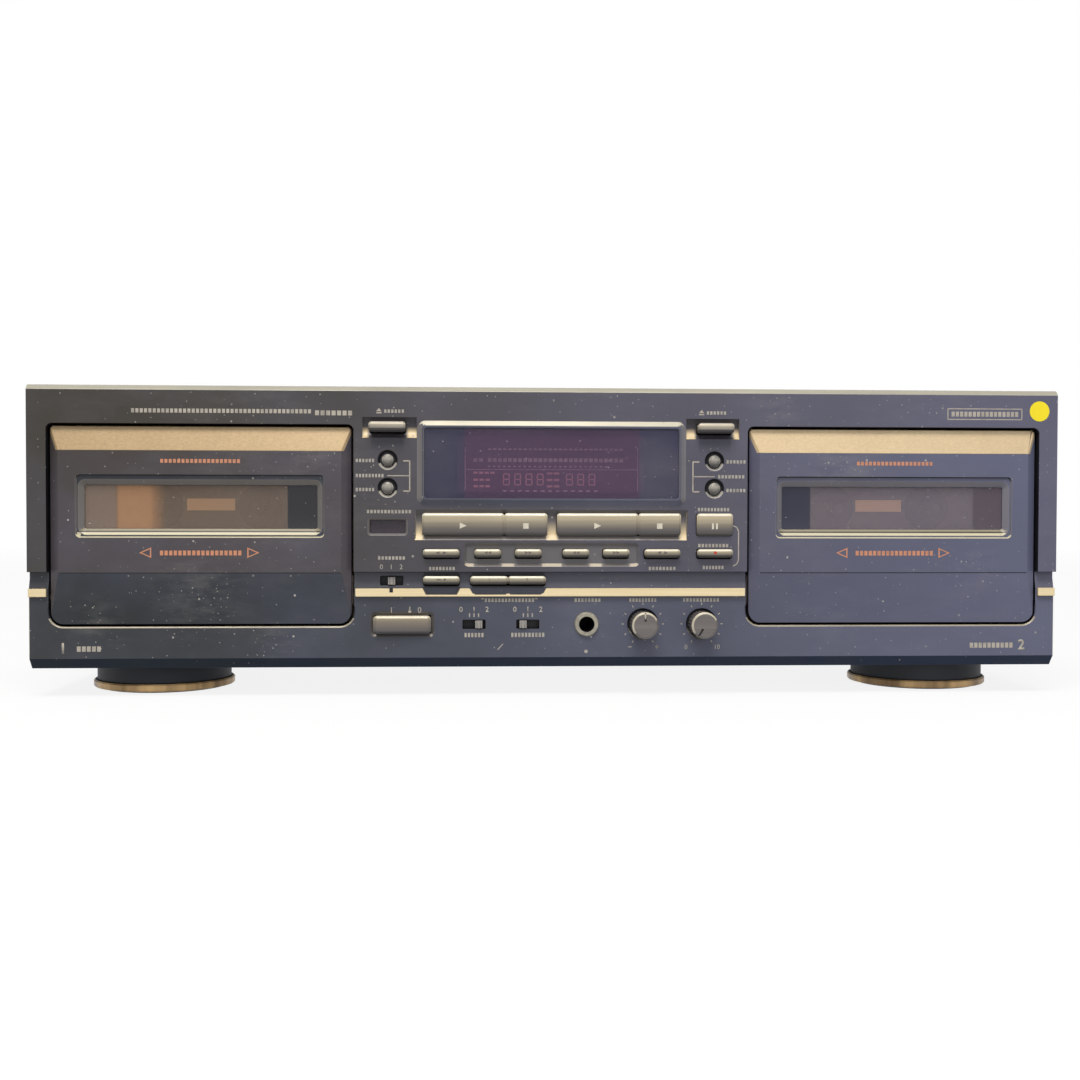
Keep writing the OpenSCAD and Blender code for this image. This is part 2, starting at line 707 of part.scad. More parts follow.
// Sheet pocket behind a door that carries the cassette, with the hinge pins
module cassette_holder(deck) color([0.45, 0.45, 0.47]) in_case() translate([deck * door_x, 0, 0]) {
  side_x = pocket_w / 2;
  top_z = cassette_z + cassette_h - 6;
  low_z = cassette_z - holder_t;
  floor_w = 9;
  arm_x = door_open_w / 2 - 0.5;
  ear_t = 2;
  pin_end = door_open_w / 2 + well_wall - 0.2;
  difference() {
    translate([0, 0, (low_z + top_z) / 2]) facing(holder_front, pocket_front)
      square([pocket_w + 2 * holder_t, top_z - low_z], center = true);
    translate([0, 0, glass_z]) facing(holder_front - past, pocket_front + past)
      rounded(glass_w, glass_h + 1, 0.8);
    translate([0, 0, cassette_z]) facing(holder_front - past, pocket_front + past)
      rounded(capstan_pitch + 8, 2 * bridge_travel, 2);
  }
  for (side = [-1, 1]) {
    translate([side * (side_x + holder_t / 2), 0, (low_z + top_z) / 2])
      facing(pocket_front - join, pocket_back) square([holder_t, top_z - low_z], center = true);
    translate([side * (side_x + (holder_t - holder_lip) / 2), 0, (low_z + top_z) / 2])
      facing(pocket_back - join, pocket_back + holder_t)
        square([holder_lip + holder_t, top_z - low_z], center = true);
    translate([side * (side_x + (holder_t - floor_w) / 2), 0, cassette_z - holder_t / 2])
      facing(pocket_front - join, pocket_back) square([floor_w + holder_t, holder_t], center = true);
    // Hinge arm with its ear, a stiffening fold and the pin
    translate([side * (side_x + arm_x) / 2, 0, hinge_z + 3])
      facing(holder_front, pocket_front) square([arm_x - side_x, 12], center = true);
    translate([side * (arm_x - ear_t / 2), 0, hinge_z])
      facing(holder_front, hinge_depth + 3) square([ear_t, 6], center = true);
    translate([side * (side_x + 1.6), 0, hinge_z + 5])
      facing(holder_front, hinge_depth + 3) square([1, 8], center = true);
    cross_rod(hinge_depth, hinge_z, hinge_pin_dia, side > 0 ? arm_x - ear_t / 2 : -pin_end,
              side > 0 ? pin_end : ear_t / 2 - arm_x);
  }
}

// Steel plate at the back of each well, with the reel posts, capstan bearings and guides
guide_x = 14;
guide_z = 29;
guide_dia = 2.8;
post_dia = 3;
post_tip = 11.5;
bearing_dia = 7;
bearing_len = 3;
module transport_plate(deck) in_case() translate([deck * door_x, 0, 0]) {
  difference() {
    union() {
      translate([0, 0, door_open_z - well_wall]) facing(well_depth, well_depth + plate_t)
        door_outline(door_open_w + 2 * well_wall, door_open_h + 2 * well_wall,
                     door_low_r, door_high_r);
      for (side = [-1, 1]) {
        rod(side * reel_pitch / 2, reel_z, post_dia + 3, well_depth - 0.4, well_depth);
        rod(side * reel_pitch / 2, reel_z, post_dia, post_tip, well_depth);
        rod(side * capstan_pitch / 2, capstan_z, bearing_dia, well_depth - bearing_len,
            well_depth + plate_t + 1);
        rod(side * guide_x, guide_z, guide_dia, bridge_front - 0.9, well_depth);
        rod(side * guide_x, guide_z, 2 * guide_dia, bridge_front - 0.9, bridge_front - 0.2);
      }
    }
    for (side = [-1, 1])
      rod(side * capstan_pitch / 2, capstan_z, capstan_dia + 2 * spin_clearance,
          well_depth - bearing_len - past, well_depth + plate_t + 1 + past);
  }
}
module transport_plates() color([0.36, 0.33, 0.32]) for (deck = [-1, 1]) transport_plate(deck);

// Reel: a disc behind the cassette and a splined spindle that its hub slips over
reel_disc_dia = 19;
reel_disc_front = well_depth - 2.1;
spindle_dia = 6.8;
spindle_tip = 8.4;
spindle_tip_len = 1.6;
module reel(deck, side) color([0.16, 0.16, 0.17]) in_case()
  translate([deck * door_x + side * reel_pitch / 2, 0, reel_z]) difference() {
    union() {
      rod(0, 0, reel_disc_dia, reel_disc_front, well_depth - 0.6);
      rod(0, 0, spindle_dia, spindle_tip + spindle_tip_len, reel_disc_front + join);
      translate([0, spindle_tip, 0]) rotate([-90, 0, 0])
        cylinder(d1 = spindle_dia / 2, d2 = spindle_dia, h = spindle_tip_len + join);
      for (a = [90, 210, 330]) rotate([0, a, 0])
        facing(spindle_tip + 2.2, reel_disc_front + join)
          translate([3.2, 0]) square([2.8, 1.5], center = true);
    }
    rod(0, 0, post_dia + 2 * spin_clearance, post_tip - 0.3, well_depth);
  }

// Capstan: a thin shaft in the plate's bearing and its flywheel behind
flywheel_front = 25.4;
flywheel_t = 6;
capstan_tip = 10;
module capstan(deck, side) color([0.72, 0.70, 0.66]) in_case()
  translate([deck * door_x + side * capstan_pitch / 2, 0, capstan_z]) {
    rod(0, 0, capstan_dia, capstan_tip, flywheel_front + 1);
    difference() {
      rod(0, 0, flywheel_dia, flywheel_front, flywheel_front + flywheel_t);
      translate([0, flywheel_front + 2, 0]) rotate([-90, 0, 0]) difference() {
        cylinder(d = flywheel_dia - 8, h = flywheel_t);
        cylinder(d = 10, h = flywheel_t);
      }
    }
  }

// Head bridge: a forked plate that slides on the two guides, with the head in the middle and a
// pinch roller at the end of each arm
bridge_t = 1.4;
bridge_front = well_depth - 0.3 - bridge_t;
bridge_w = 46;
bridge_low_z = door_open_z + 0.3;
bridge_high_z = guide_z + 4;
head_back = 16.6;
module head_bridge(deck) in_case() translate([deck * door_x, 0, 0]) {
  head_w = 12.4;
  head_h = 9.2;
  head_top = cassette_z - 2.2;
  bracket_low_z = head_top - 6;
  slot_w = guide_dia + 0.1;
  roller_x = capstan_pitch / 2;
  roller_pin_dia = 2.4;
  color([0.60, 0.60, 0.58]) difference() {
    union() {
      translate([0, 0, (bridge_low_z + bridge_high_z) / 2])
        facing(bridge_front, bridge_front + bridge_t)
          rounded(bridge_w, bridge_high_z - bridge_low_z, 2);
      translate([0, 0, roller_rest_z - 2.6]) facing(bridge_front, bridge_front + bridge_t)
        rounded(2 * roller_x + 8, 7, 2);
      translate([0, 0, (bracket_low_z + head_top - 0.5) / 2])
        facing(head_back - 0.1, bridge_front + bridge_t)
          square([head_w + 0.6, head_top - 0.5 - bracket_low_z], center = true);
    }
    for (side = [-1, 1]) translate([side * guide_x, 0, guide_z - bridge_travel / 2])
      facing(bridge_front - past, bridge_front + bridge_t + past)
        rotate(90) slot_shape(bridge_travel + slot_w, slot_w);
  }
  color([0.80, 0.80, 0.78]) difference() {
    translate([0, 0, head_top - head_h / 2]) facing(9, head_back) rounded(head_w, head_h, 1.4);
    translate([0, 0, head_top + 0.2]) facing(9 - past, 9 + past) square([6, 1], center = true);
  }
  for (side = [-1, 1]) {
    color([0.60, 0.60, 0.58])
      rod(side * roller_x, roller_rest_z, roller_pin_dia, 10.8, bridge_front + 0.5);
    color([0.15, 0.15, 0.15]) difference() {
      rod(side * roller_x, roller_rest_z, roller_dia, 11.2, 17);
      rod(side * roller_x, roller_rest_z, roller_pin_dia + 0.2, 11.2 - past, 17 + past);
    }
  }
}

// Motors behind each plate, with the capstan motor's pulley and the flat belt. The belt
// runs round the left flywheel and the pulley and past the outside of the right flywheel
belt_gap = 0.3;
belt_t = 0.8;
belt_w = 4;
pulley_dia = 11;
pulley_x = 50;
pulley_above = 30;
// The motor's posts stand where the belt doesn't run
motor_post_angles = [40, 190, 268];
motor_dia = 27;
motor_front = flywheel_front + flywheel_t + 1.5;
motor_back = 58;
reel_motor_dia = 24;
reel_motor_len = 22;
reel_motor_x = -26;
reel_motor_above = 17;
function belt_stops() = [
  [-capstan_pitch / 2, 0, flywheel_dia / 2, 1],
  [capstan_pitch / 2, 0, flywheel_dia / 2, -1],
  [pulley_x, pulley_above, pulley_dia / 2, 1]
];
// Radius of the belt's inner or outer edge at a stop, counted negative where it passes outside
function belt_radius(stop, outer) =
  stop[3] > 0 ? stop[2] + belt_gap + (outer ? belt_t : 0)
              : -(stop[2] + belt_gap + (outer ? 0 : belt_t));
function belt_angle(a, b, outer) =
  atan2(b[1] - a[1], b[0] - a[0])
  - acos((belt_radius(a, outer) - belt_radius(b, outer)) / norm([b[0] - a[0], b[1] - a[1]]));
function wrap(angle) = angle < 0 ? wrap(angle + 360) : angle >= 360 ? wrap(angle - 360) : angle;
function belt_arc(before, stop, after, outer) =
  let (start = belt_angle(before, stop, outer), end = belt_angle(stop, after, outer),
       turn = stop[3] > 0 ? wrap(end - start) : -wrap(start - end), steps = 24)
  [for (i = [0 : steps]) let (angle = start + turn * i / steps)
    [stop[0], stop[1]] + belt_radius(stop, outer) * [cos(angle), sin(angle)]];
function belt_path(outer) = let (s = belt_stops())
  concat(belt_arc(s[2], s[0], s[1], outer), belt_arc(s[0], s[1], s[2], outer),
         belt_arc(s[1], s[2], s[0], outer));

module motor_drive(deck) in_case() translate([deck * door_x, 0, 0]) {
  back = well_depth + plate_t + seam;
  motor_z = capstan_z + pulley_above;
  post_ring = 11;
  color([0.68, 0.68, 0.70]) difference() {
    rod(pulley_x, motor_z, motor_dia, motor_front, motor_back);
    rod(pulley_x, motor_z, 8, motor_back - 1, motor_back + past);
  }
  // Posts that carry the capstan motor on the plate
  color([0.68, 0.68, 0.70]) for (a = motor_post_angles)
    rod(pulley_x + post_ring * cos(a), motor_z + post_ring * sin(a), 4, back, motor_front + 0.1);
  color([0.75, 0.62, 0.30])
    rod(pulley_x, motor_z, pulley_dia, flywheel_front, flywheel_front + flywheel_t);
  color([0.68, 0.68, 0.70]) rod(pulley_x, motor_z, 2, flywheel_front + 1, motor_front + 1);
  color([0.68, 0.68, 0.70])
    rod(reel_motor_x, reel_z + reel_motor_above, reel_motor_dia, back, back + reel_motor_len);
  color([0.08, 0.08, 0.08]) translate([0, 0, capstan_z])
    facing(flywheel_front + 1, flywheel_front + 1 + belt_w) difference() {
      polygon(belt_path(true));
      polygon(belt_path(false));
    }
}
module motor_drives() for (deck = [-1, 1]) motor_drive(deck);

// Push button: a cap with bevelled front edges, a lip behind the panel and a stem
module push_button(x, z, w, h, front, back, travel, edge = 0.5) {
  translate([x, 0, z]) {
    bevelled(w - 2 * edge, h - 2 * edge, 0.5, 0, edge, front, front + edge);
    facing(front + edge - join, back + flange_t) rounded(w, h, 0.5 + edge);
    facing(back + fit_gap, back + flange_t)
      square([w - flange_over, h + 2 * flange_over], center = true);
    facing(back, switch_front - travel - 0.2) square([4, 3], center = true);
  }
}

button_grey = [0.60, 0.56, 0.50];
module eject_button(side) color(button_grey) in_case()
  push_button(side * column_x, eject_z, eject_w, eject_h, eject_front, panel_face_t, eject_travel);

module round_button(side, z) color(button_grey) in_case() translate([side * column_x, 0, z]) {
  edge = 0.6;
  translate([0, round_front, 0]) rotate([-90, 0, 0])
    cylinder(d1 = round_dia - 2 * edge, d2 = round_dia, h = edge);
  rod(0, 0, round_dia, round_front + edge - join, panel_face_t + flange_t);
  rod(0, 0, round_dia + 2, panel_face_t + fit_gap, panel_face_t + flange_t);
  rod(0, 0, 3, panel_face_t, switch_front - button_travel - 0.2);
}

module row_button(x, z, w, h, front, back) color(button_grey) in_case()
  push_button(x, z, w, h, front, back, button_travel);

module power_button() color(button_grey) in_case()
  push_button(power_x, low_row_z, power_w, power_h, power_front, lower_back, power_travel, 0.8);

// Slide switch: a small ribbed knob in its slot on a plate that covers the slot from behind
module slide_switch(x, z, front) color([0.48, 0.46, 0.44]) in_case() translate([x, 0, z]) {
  difference() {
    facing(front, lower_back + 0.3) square([slider_w, slot_h - 2 * button_gap], center = true);
    for (i = [-1, 1]) translate([i * slider_w / 4, 0, 0]) facing(front - past, front + 0.4)
      square([0.4, slot_h], center = true);
  }
  facing(lower_back + fit_gap, lower_back + 0.9)
    square([slot_w + 2 * slider_step + 1, slot_h + 2], center = true);
  facing(lower_back + 0.5, switch_front - 0.3) square([2.4, 2.4], center = true);
}

// Knob on its shaft, with a pointer groove at the given angle, clockwise from the top
module knob(x, pointer) color(button_grey) in_case() translate([x, 0, low_row_z])
  rotate([0, pointer, 0]) {
    well_floor = lower_setback + ledge_depth;
    edge = 0.8;
    flutes = 24;
    difference() {
      union() {
        translate([0, knob_front, 0]) rotate([-90, 0, 0])
          cylinder(d1 = knob_dia - 1.4, d2 = knob_dia, h = edge);
        rod(0, 0, knob_dia, knob_front + edge - join, well_floor - 0.4);
      }
      translate([-0.4, knob_front - past, 1.6]) cube([0.8, past + 0.6, knob_dia]);
      for (i = [1 : flutes]) rotate([0, i * 360 / flutes, 0])
        translate([knob_dia / 2 + 0.35, knob_front + 2 * edge, 0]) rotate([-90, 0, 0])
          cylinder(d = 1.2, h = 10, $fn = 16);
    }
    rod(0, 0, knob_shaft_dia, well_floor - 0.5, board_front - 1.3);
  }

// Bottom pan with its folded flanges, slots and the posts of the main board
pan_inner_w = cover_w - 2 * sheet_t;
board_post_h = 7;
main_w = 230;
main_d = case_d - 122;
main_x = -70;
main_y = 78;
module bottom_pan() color([0.55, 0.56, 0.57]) in_case() difference() {
  union() {
    translate([-pan_inner_w / 2, panel_return, 0])
      cube([pan_inner_w, case_d - panel_return - sheet_t, sheet_t]);
    translate([-pan_inner_w / 2, panel_return, 0])
      cube([pan_inner_w, sheet_t, pan_front_flange_h]);
    translate([-pan_inner_w / 2, case_d - 2 * sheet_t, 0])
      cube([pan_inner_w, sheet_t, pan_flange_h]);
    for (side = [-1, 1]) translate([side * (pan_inner_w - sheet_t) / 2 - sheet_t / 2, panel_return, 0])
      cube([sheet_t, case_d - panel_return - sheet_t, pan_flange_h]);
    for (x = [-1, 1], y = [8, main_d - 8])
      translate([main_x + x * (main_w / 2 - 8), main_y + y, sheet_t - 0.1])
        cylinder(d = 6, h = board_post_h - seam + 0.1);
  }
  for (i = [-4 : 4], side = [-1, 1])
    translate([side * 95 + i * 12, case_d / 2, -past]) linear_extrude(sheet_t + 2 * past)
      rotate(90) slot_shape(46, 4);
  side_screw_holes();
  rear_low_screw_holes();
}

// Screw places: two on each side, three on the cover's rear edge, four on the rear panel
side_screw_y = [60, case_d - 52];
side_screw_z = pan_flange_h / 2 + 1;
rear_high_x = [-150, 0, 150];
rear_low_x = [-190, -70, 60, 190];
rear_high_z = cover_top - rear_flange_h / 2 - 1;
rear_low_z = pan_flange_h / 2 + 1;
module side_screw_holes() {
  for (y = side_screw_y) cross_rod(y, side_screw_z, screw_hole_dia, -panel_w, panel_w);
}
module rear_low_screw_holes() {
  for (x = rear_low_x) rod(x, rear_low_z, screw_hole_dia, case_d - screw_len, case_d + past);
}
module rear_high_screw_holes() {
  for (x = rear_high_x)
    rod(x, rear_high_z, screw_hole_dia, case_d - screw_len, case_d + sheet_t + past);
}

module rear_panel() color([0.30, 0.31, 0.33]) in_case() difference() {
  translate([-pan_inner_w / 2, case_d - sheet_t, 0])
    cube([pan_inner_w, sheet_t, cover_top - sheet_t - fit_gap]);
  for (p = jack_places()) rod(p[0], p[1], jack_shoulder_dia + 0.4, case_d - 3, case_d + 1);
  translate([inlet_x, 0, inlet_z]) facing(case_d - 3, case_d + 1)
    square([inlet_w + 3 + 2 * fit_gap, inlet_h + 3 + 2 * fit_gap], center = true);
  rear_low_screw_holes();
  rear_high_screw_holes();
}

// Top and two sides in one sheet, with a folded rear edge and two fields of slots
module top_cover() color([0.16, 0.17, 0.19]) in_case() difference() {
  length = case_d - panel_return;
  slots = 14;
  slot_pitch = 9;
  union() {
    translate([-cover_w / 2, panel_return, cover_top - sheet_t]) cube([cover_w, length, sheet_t]);
    for (side = [-1, 1]) translate([side * (cover_w - sheet_t) / 2 - sheet_t / 2, panel_return, 0])
      cube([sheet_t, length, cover_top]);
    translate([-cover_w / 2, case_d, cover_top - rear_flange_h])
      cube([cover_w, sheet_t, rear_flange_h]);
    translate([-cover_w / 2, case_d - 0.5, cover_top - sheet_t]) cube([cover_w, 1, sheet_t]);
  }
  for (i = [0 : slots - 1], side = [-1, 1])
    translate([side * 110 + (i - (slots - 1) / 2) * slot_pitch, case_d - 90, cover_top - sheet_t - past])
      linear_extrude(sheet_t + 2 * past) rotate(90) slot_shape(60, 3.6);
  side_screw_holes();
  rear_high_screw_holes();
}

// Screw with a bevelled head and a cross recess, the head's underside at the origin and the
// shank along +y
module case_screw() {
  difference() {
    translate([0, -screw_head_h, 0]) rotate([-90, 0, 0])
      cylinder(d1 = screw_head_dia - 2, d2 = screw_head_dia, h = screw_head_h);
    for (a = [0, 90]) rotate([0, a, 0]) translate([-2, -screw_head_h - 1, -0.5]) cube([4, 2.2, 1]);
  }
  rod(0, 0, screw_shank_dia, -0.1, screw_len);
}
module case_screws() color([0.30, 0.30, 0.31]) in_case() {
  for (y = side_screw_y, side = [-1, 1]) translate([side * cover_w / 2, y, side_screw_z])
    rotate([0, 0, side * 90]) case_screw();
  for (x = rear_high_x) translate([x, case_d + sheet_t, rear_high_z]) rotate([0, 0, 180]) case_screw();
  for (x = rear_low_x) translate([x, case_d, rear_low_z]) rotate([0, 0, 180]) case_screw();
}

// Line jacks in a block of four and the mains inlet with its two pins
inlet_x = -panel_w / 2 + 40;
inlet_z = 40;
inlet_plate_t = 1.6;
inlet_pin_pitch = 8.6;
jacks_x = panel_w / 2 - 60;
jacks_z = 70;
jack_bore = 3.3;
jack_shoulder_dia = jack_dia + 1.4;
function jack_places() = [for (x = [-0.5, 0.5], z = [-0.5, 0.5])
  [jacks_x + x * jack_pitch, jacks_z + z * jack_pitch]];
module rear_sockets() in_case() {
  color([0.10, 0.10, 0.11]) translate([jacks_x, 0, jacks_z])
    facing(case_d - sheet_t - 12, case_d - sheet_t - seam)
      square([2 * jack_pitch + 4, 2 * jack_pitch + 4], center = true);
  color([0.75, 0.73, 0.68]) for (p = jack_places()) difference() {
    union() {
      rod(p[0], p[1], jack_shoulder_dia, case_d - sheet_t - seam, case_d);
      rod(p[0], p[1], jack_dia, case_d - 0.1, jack_end);
    }
    rod(p[0], p[1], jack_bore, case_d, jack_end + past);
  }
  color([0.10, 0.10, 0.11]) translate([inlet_x, 0, inlet_z]) difference() {
    union() {
      facing(case_d - inlet_depth - 3, case_d + inlet_plate_t)
        square([inlet_w + 3, inlet_h + 3], center = true);
      facing(case_d + join, case_d + inlet_plate_t) square([inlet_w + 7, inlet_h + 6], center = true);
    }
    facing(case_d + inlet_plate_t - inlet_depth, case_d + inlet_plate_t + past)
      rounded(inlet_w, inlet_h, 2);
  }
  color([0.80, 0.80, 0.80]) for (side = [-1, 1])
    rod(inlet_x + side * inlet_pin_pitch / 2, inlet_z, 2.4, case_d - inlet_depth - 2, case_d - 1.5);
}

// Main board with its parts
module main_board() in_case() translate([main_x, main_y, sheet_t + board_post_h]) {
  part_z = board_t + seam;
  small_cap_dia = main_w / 23;
  large_cap_dia = main_w / 13;
  chip_w = main_w / 10.5;
  fin_pitch = main_w / 38;
  color([0.62, 0.50, 0.30]) translate([-main_w / 2, 0, 0]) cube([main_w, main_d, board_t]);
  // Two rows of capacitors, a row of circuits and the fins of a heat sink
  color([0.10, 0.12, 0.20]) for (i = [0 : 5])
    translate([-0.4 * main_w + 2.2 * i * small_cap_dia, 0.16 * main_d, part_z])
      cylinder(d = small_cap_dia, h = 1.6 * small_cap_dia);
  color([0.10, 0.12, 0.20]) for (i = [0 : 2])
    translate([0.17 * main_w + 1.45 * i * large_cap_dia, 0.82 * main_d, part_z])
      cylinder(d = large_cap_dia, h = 1.7 * large_cap_dia);
  color([0.08, 0.08, 0.09]) for (i = [0 : 3])
    translate([-0.42 * main_w + 1.45 * i * chip_w, 0.4 * main_d, part_z])
      cube([chip_w, 0.36 * chip_w, 0.18 * chip_w]);
  color([0.70, 0.70, 0.72]) for (i = [0 : 4])
    translate([-0.17 * main_w + i * fin_pitch, 0.77 * main_d, part_z])
      cube([fin_pitch / 3, 4 * fin_pitch, 5.6 * fin_pitch]);
}

// Mains transformer on the pan: a core with its winding and two mounting feet
core_w = 64;
core_d = 48;
core_limb = core_w / 6;
core_h = core_w - core_limb;
module transformer() in_case() translate([panel_w / 2 - 85, case_d - 100, sheet_t]) {
  window_z = core_limb;
  window_h = core_h - 2 * core_limb;
  window_w = core_w / 4;
  mid_w = core_w - 2 * core_limb - 2 * window_w;
  ear_w = core_limb + 1;
  color([0.40, 0.40, 0.42]) difference() {
    translate([-core_w / 2, -core_d / 2, 0]) cube([core_w, core_d, core_h]);
    for (side = [-1, 1])
      translate([side * (mid_w + window_w) / 2 - window_w / 2, -core_d / 2 - past, window_z])
        cube([window_w, core_d + 2 * past, window_h]);
  }
  color([0.72, 0.50, 0.20]) difference() {
    translate([0, 0, window_z + 0.2]) linear_extrude(window_h - 0.4)
      rounded(mid_w + 2 * window_w - 1, 1.25 * core_d, 0.1 * core_d);
    translate([-mid_w / 2 - 0.2, -core_d / 2 - 0.2, window_z])
      cube([mid_w + 0.4, core_d + 0.4, window_h]);
  }
  color([0.40, 0.40, 0.42]) for (side = [-1, 1])
    translate([side * (core_w / 2 + ear_w / 2 - 0.5) - ear_w / 2, -core_d / 4, 0])
      cube([ear_w, core_d / 2, 2 * sheet_t]);
}

// Foot with a hollow underneath and a gold ring as a piece of its own round the base
module feet() in_case() for (x = [-1, 1], y = [foot_inset_y, case_d - foot_inset_y])
  translate([x * (panel_w / 2 - foot_inset_x), y, -foot_h]) {
    ring_z = 0.8;
    ring_edge = 0.4;
    seat_r = foot_dia / 2 - 1;
    color([0.12, 0.13, 0.15]) difference() {
      rotate_extrude() polygon([
        [0, 0], [seat_r - 1, 0], [seat_r, ring_z],
        [seat_r, ring_z + foot_ring_h], [foot_dia / 2, ring_z + foot_ring_h + 0.1],
        [foot_dia / 2, foot_h], [0, foot_h]]);
      translate([0, 0, -past]) cylinder(d = 30, h = 3 + past);
    }
    color([0.80, 0.66, 0.42]) translate([0, 0, ring_z]) difference() {
      union() {
        translate([0, 0, ring_edge]) cylinder(d = foot_ring_dia, h = foot_ring_h - 2 * ring_edge);
        cylinder(d = foot_ring_dia - 2 * ring_edge, h = foot_ring_h);
      }
      translate([0, 0, -past]) cylinder(r = seat_r + seam, h = foot_ring_h + 2 * past);
    }
  }

bottom_pan();
rear_panel();
top_cover();
front_panel();
trim_strip();
front_windows();
control_board();
main_board();
transformer();
feet();
case_screws();
headphone_jack();
rear_sockets();
transport_plates();
motor_drives();
door(-1);  // door_a
door_bar(-1);  // door_bar_a
door_window(-1);  // door_window_a
cassette_holder(-1);  // cassette_holder_a
reel(-1, -1);  // left_reel_a
reel(-1, 1);  // right_reel_a
capstan(-1, -1);  // left_capstan_a
capstan(-1, 1);  // right_capstan_a
head_bridge(-1);  // head_bridge_a
door(1);  // door_b
door_bar(1);  // door_bar_b
door_window(1);  // door_window_b
cassette_holder(1);  // cassette_holder_b
reel(1, -1);  // left_reel_b
reel(1, 1);  // right_reel_b
capstan(1, -1);  // left_capstan_b
capstan(1, 1);  // right_capstan_b
head_bridge(1);  // head_bridge_b
eject_button(-1);  // eject_button_a
eject_button(1);  // eject_button_b
round_button(-1, round_high_z);  // counter_reset_a
round_button(1, round_high_z);  // counter_reset_b
round_button(-1, round_low_z);  // counter_memory_a
round_button(1, round_low_z);  // counter_memory_b
row_button(play_a_x, play_z, play_w, play_h, play_front, panel_face_t);  // play_button_a
row_button(play_b_x, play_z, play_w, play_h, play_front, panel_face_t);  // play_button_b
row_button(stop_a_x, play_z, stop_w, play_h, play_front, panel_face_t);  // stop_button_a
row_button(stop_b_x, play_z, stop_w, play_h, play_front, panel_face_t);  // stop_button_b
row_button(column_x, play_z, pause_w, play_h, play_front, panel_face_t);  // record_pause_button
row_button(column_x, row_two_z, direction_w, flat_h, flat_front, panel_face_t);  // record_mute_button
row_button(-direction_x, row_two_z, direction_w, flat_h, flat_front, panel_face_t);  // direction_button_a
row_button(direction_x, row_two_z, direction_w, flat_h, flat_front, panel_face_t);  // direction_button_b
row_button(-wind_out_x, row_two_z, wind_w, flat_h, play_front, panel_face_t);  // rewind_button_a
row_button(wind_in_x, row_two_z, wind_w, flat_h, play_front, panel_face_t);  // rewind_button_b
row_button(-wind_in_x, row_two_z, wind_w, flat_h, play_front, panel_face_t);  // forward_button_a
row_button(wind_out_x, row_two_z, wind_w, flat_h, play_front, panel_face_t);  // forward_button_b
row_button(-direction_x, row_three_z, direction_w, flat_h, row_three_front, lower_back);  // relay_button
row_button(normal_x, row_three_z, dubbing_w, flat_h, row_three_front, lower_back);  // dubbing_normal_button
row_button(dubbing_x, row_three_z, dubbing_w, flat_h, row_three_front, lower_back);  // dubbing_high_button
power_button();
slide_switch(noise_x, row_three_z, lower_setback - 0.5);  // noise_switch
slide_switch(-timer_x + slider_step, low_row_z, lower_setback - 0.8);  // timer_switch
slide_switch(-reverse_x - slider_step, low_row_z, lower_setback - 0.8);  // reverse_switch
knob(bias_x, 0);  // bias_knob
knob(level_x, -150);  // level_knob
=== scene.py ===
import math

import bpy
from mathutils import Euler, Matrix, Vector


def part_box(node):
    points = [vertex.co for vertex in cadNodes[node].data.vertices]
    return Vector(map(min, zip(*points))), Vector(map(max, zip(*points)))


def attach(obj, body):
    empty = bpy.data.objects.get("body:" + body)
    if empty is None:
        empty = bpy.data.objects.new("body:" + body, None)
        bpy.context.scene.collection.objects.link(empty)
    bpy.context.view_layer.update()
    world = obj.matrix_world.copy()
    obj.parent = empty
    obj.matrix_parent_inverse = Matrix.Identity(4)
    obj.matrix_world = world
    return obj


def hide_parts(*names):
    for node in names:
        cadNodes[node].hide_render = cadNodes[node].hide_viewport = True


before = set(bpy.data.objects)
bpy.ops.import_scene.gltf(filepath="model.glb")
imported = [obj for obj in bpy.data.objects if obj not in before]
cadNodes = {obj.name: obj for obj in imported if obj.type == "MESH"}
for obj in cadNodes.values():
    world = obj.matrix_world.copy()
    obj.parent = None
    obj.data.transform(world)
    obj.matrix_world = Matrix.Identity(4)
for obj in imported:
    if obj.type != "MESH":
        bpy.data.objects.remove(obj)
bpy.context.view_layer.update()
print("frame loaded:", len(cadNodes), "nodes")

mm = 0.001
panelFace = -137.0   # world y of the panel's upper face, in mm
caseFloor = 12.2     # height of the case above the ground, in mm
doorX = 146.0        # middle of each door
columnX = 68.8       # middle of each side column of controls
lowerFace = 2.5      # depth of the panel's lower face
doorFace = -0.5      # depth of the doors' flat faces
decks = (("a", -1), ("b", 1))


# places and selection
def depthOf(point):
    return point.y / mm - panelFace


def heightOf(point):
    # height in the case, from the underside of the panel
    return point.z / mm - caseFloor


def onFace(x, depth, z):
    return Vector((x, panelFace + depth, caseFloor + z)) * mm


def within(value, low, high):
    return low <= value <= high


def fromPoint(centre, x, height):
    return math.hypot(centre.x / mm - x, heightOf(centre) - height)


def setMode(mode):
    bpy.ops.object.mode_set(mode=mode)


def clearSelection():
    if bpy.context.object and bpy.context.object.mode != "OBJECT":
        setMode("OBJECT")
    bpy.ops.object.select_all(action="DESELECT")


def take(*pieces):
    clearSelection()
    for piece in pieces:
        piece.select_set(True)
    bpy.context.view_layer.objects.active = pieces[0]


def editAll(piece, kind="FACE"):
    take(piece)
    setMode("EDIT")
    bpy.ops.mesh.select_mode(type=kind)
    bpy.ops.mesh.select_all(action="SELECT")


def shifted(piece, wanted, move, **settings):
    # one transform operator on the wanted points
    editAll(piece, "VERT")
    bpy.ops.mesh.select_all(action="DESELECT")
    setMode("OBJECT")
    for point in piece.data.vertices:
        point.select = bool(wanted(point.co))
    setMode("EDIT")
    move(**settings)
    setMode("OBJECT")


def applied(piece, kind, **settings):
    take(piece)
    modifier = piece.modifiers.new(kind.title(), kind)
    for name, value in settings.items():
        setattr(modifier, name, value)
    bpy.ops.object.modifier_apply(modifier=modifier.name)


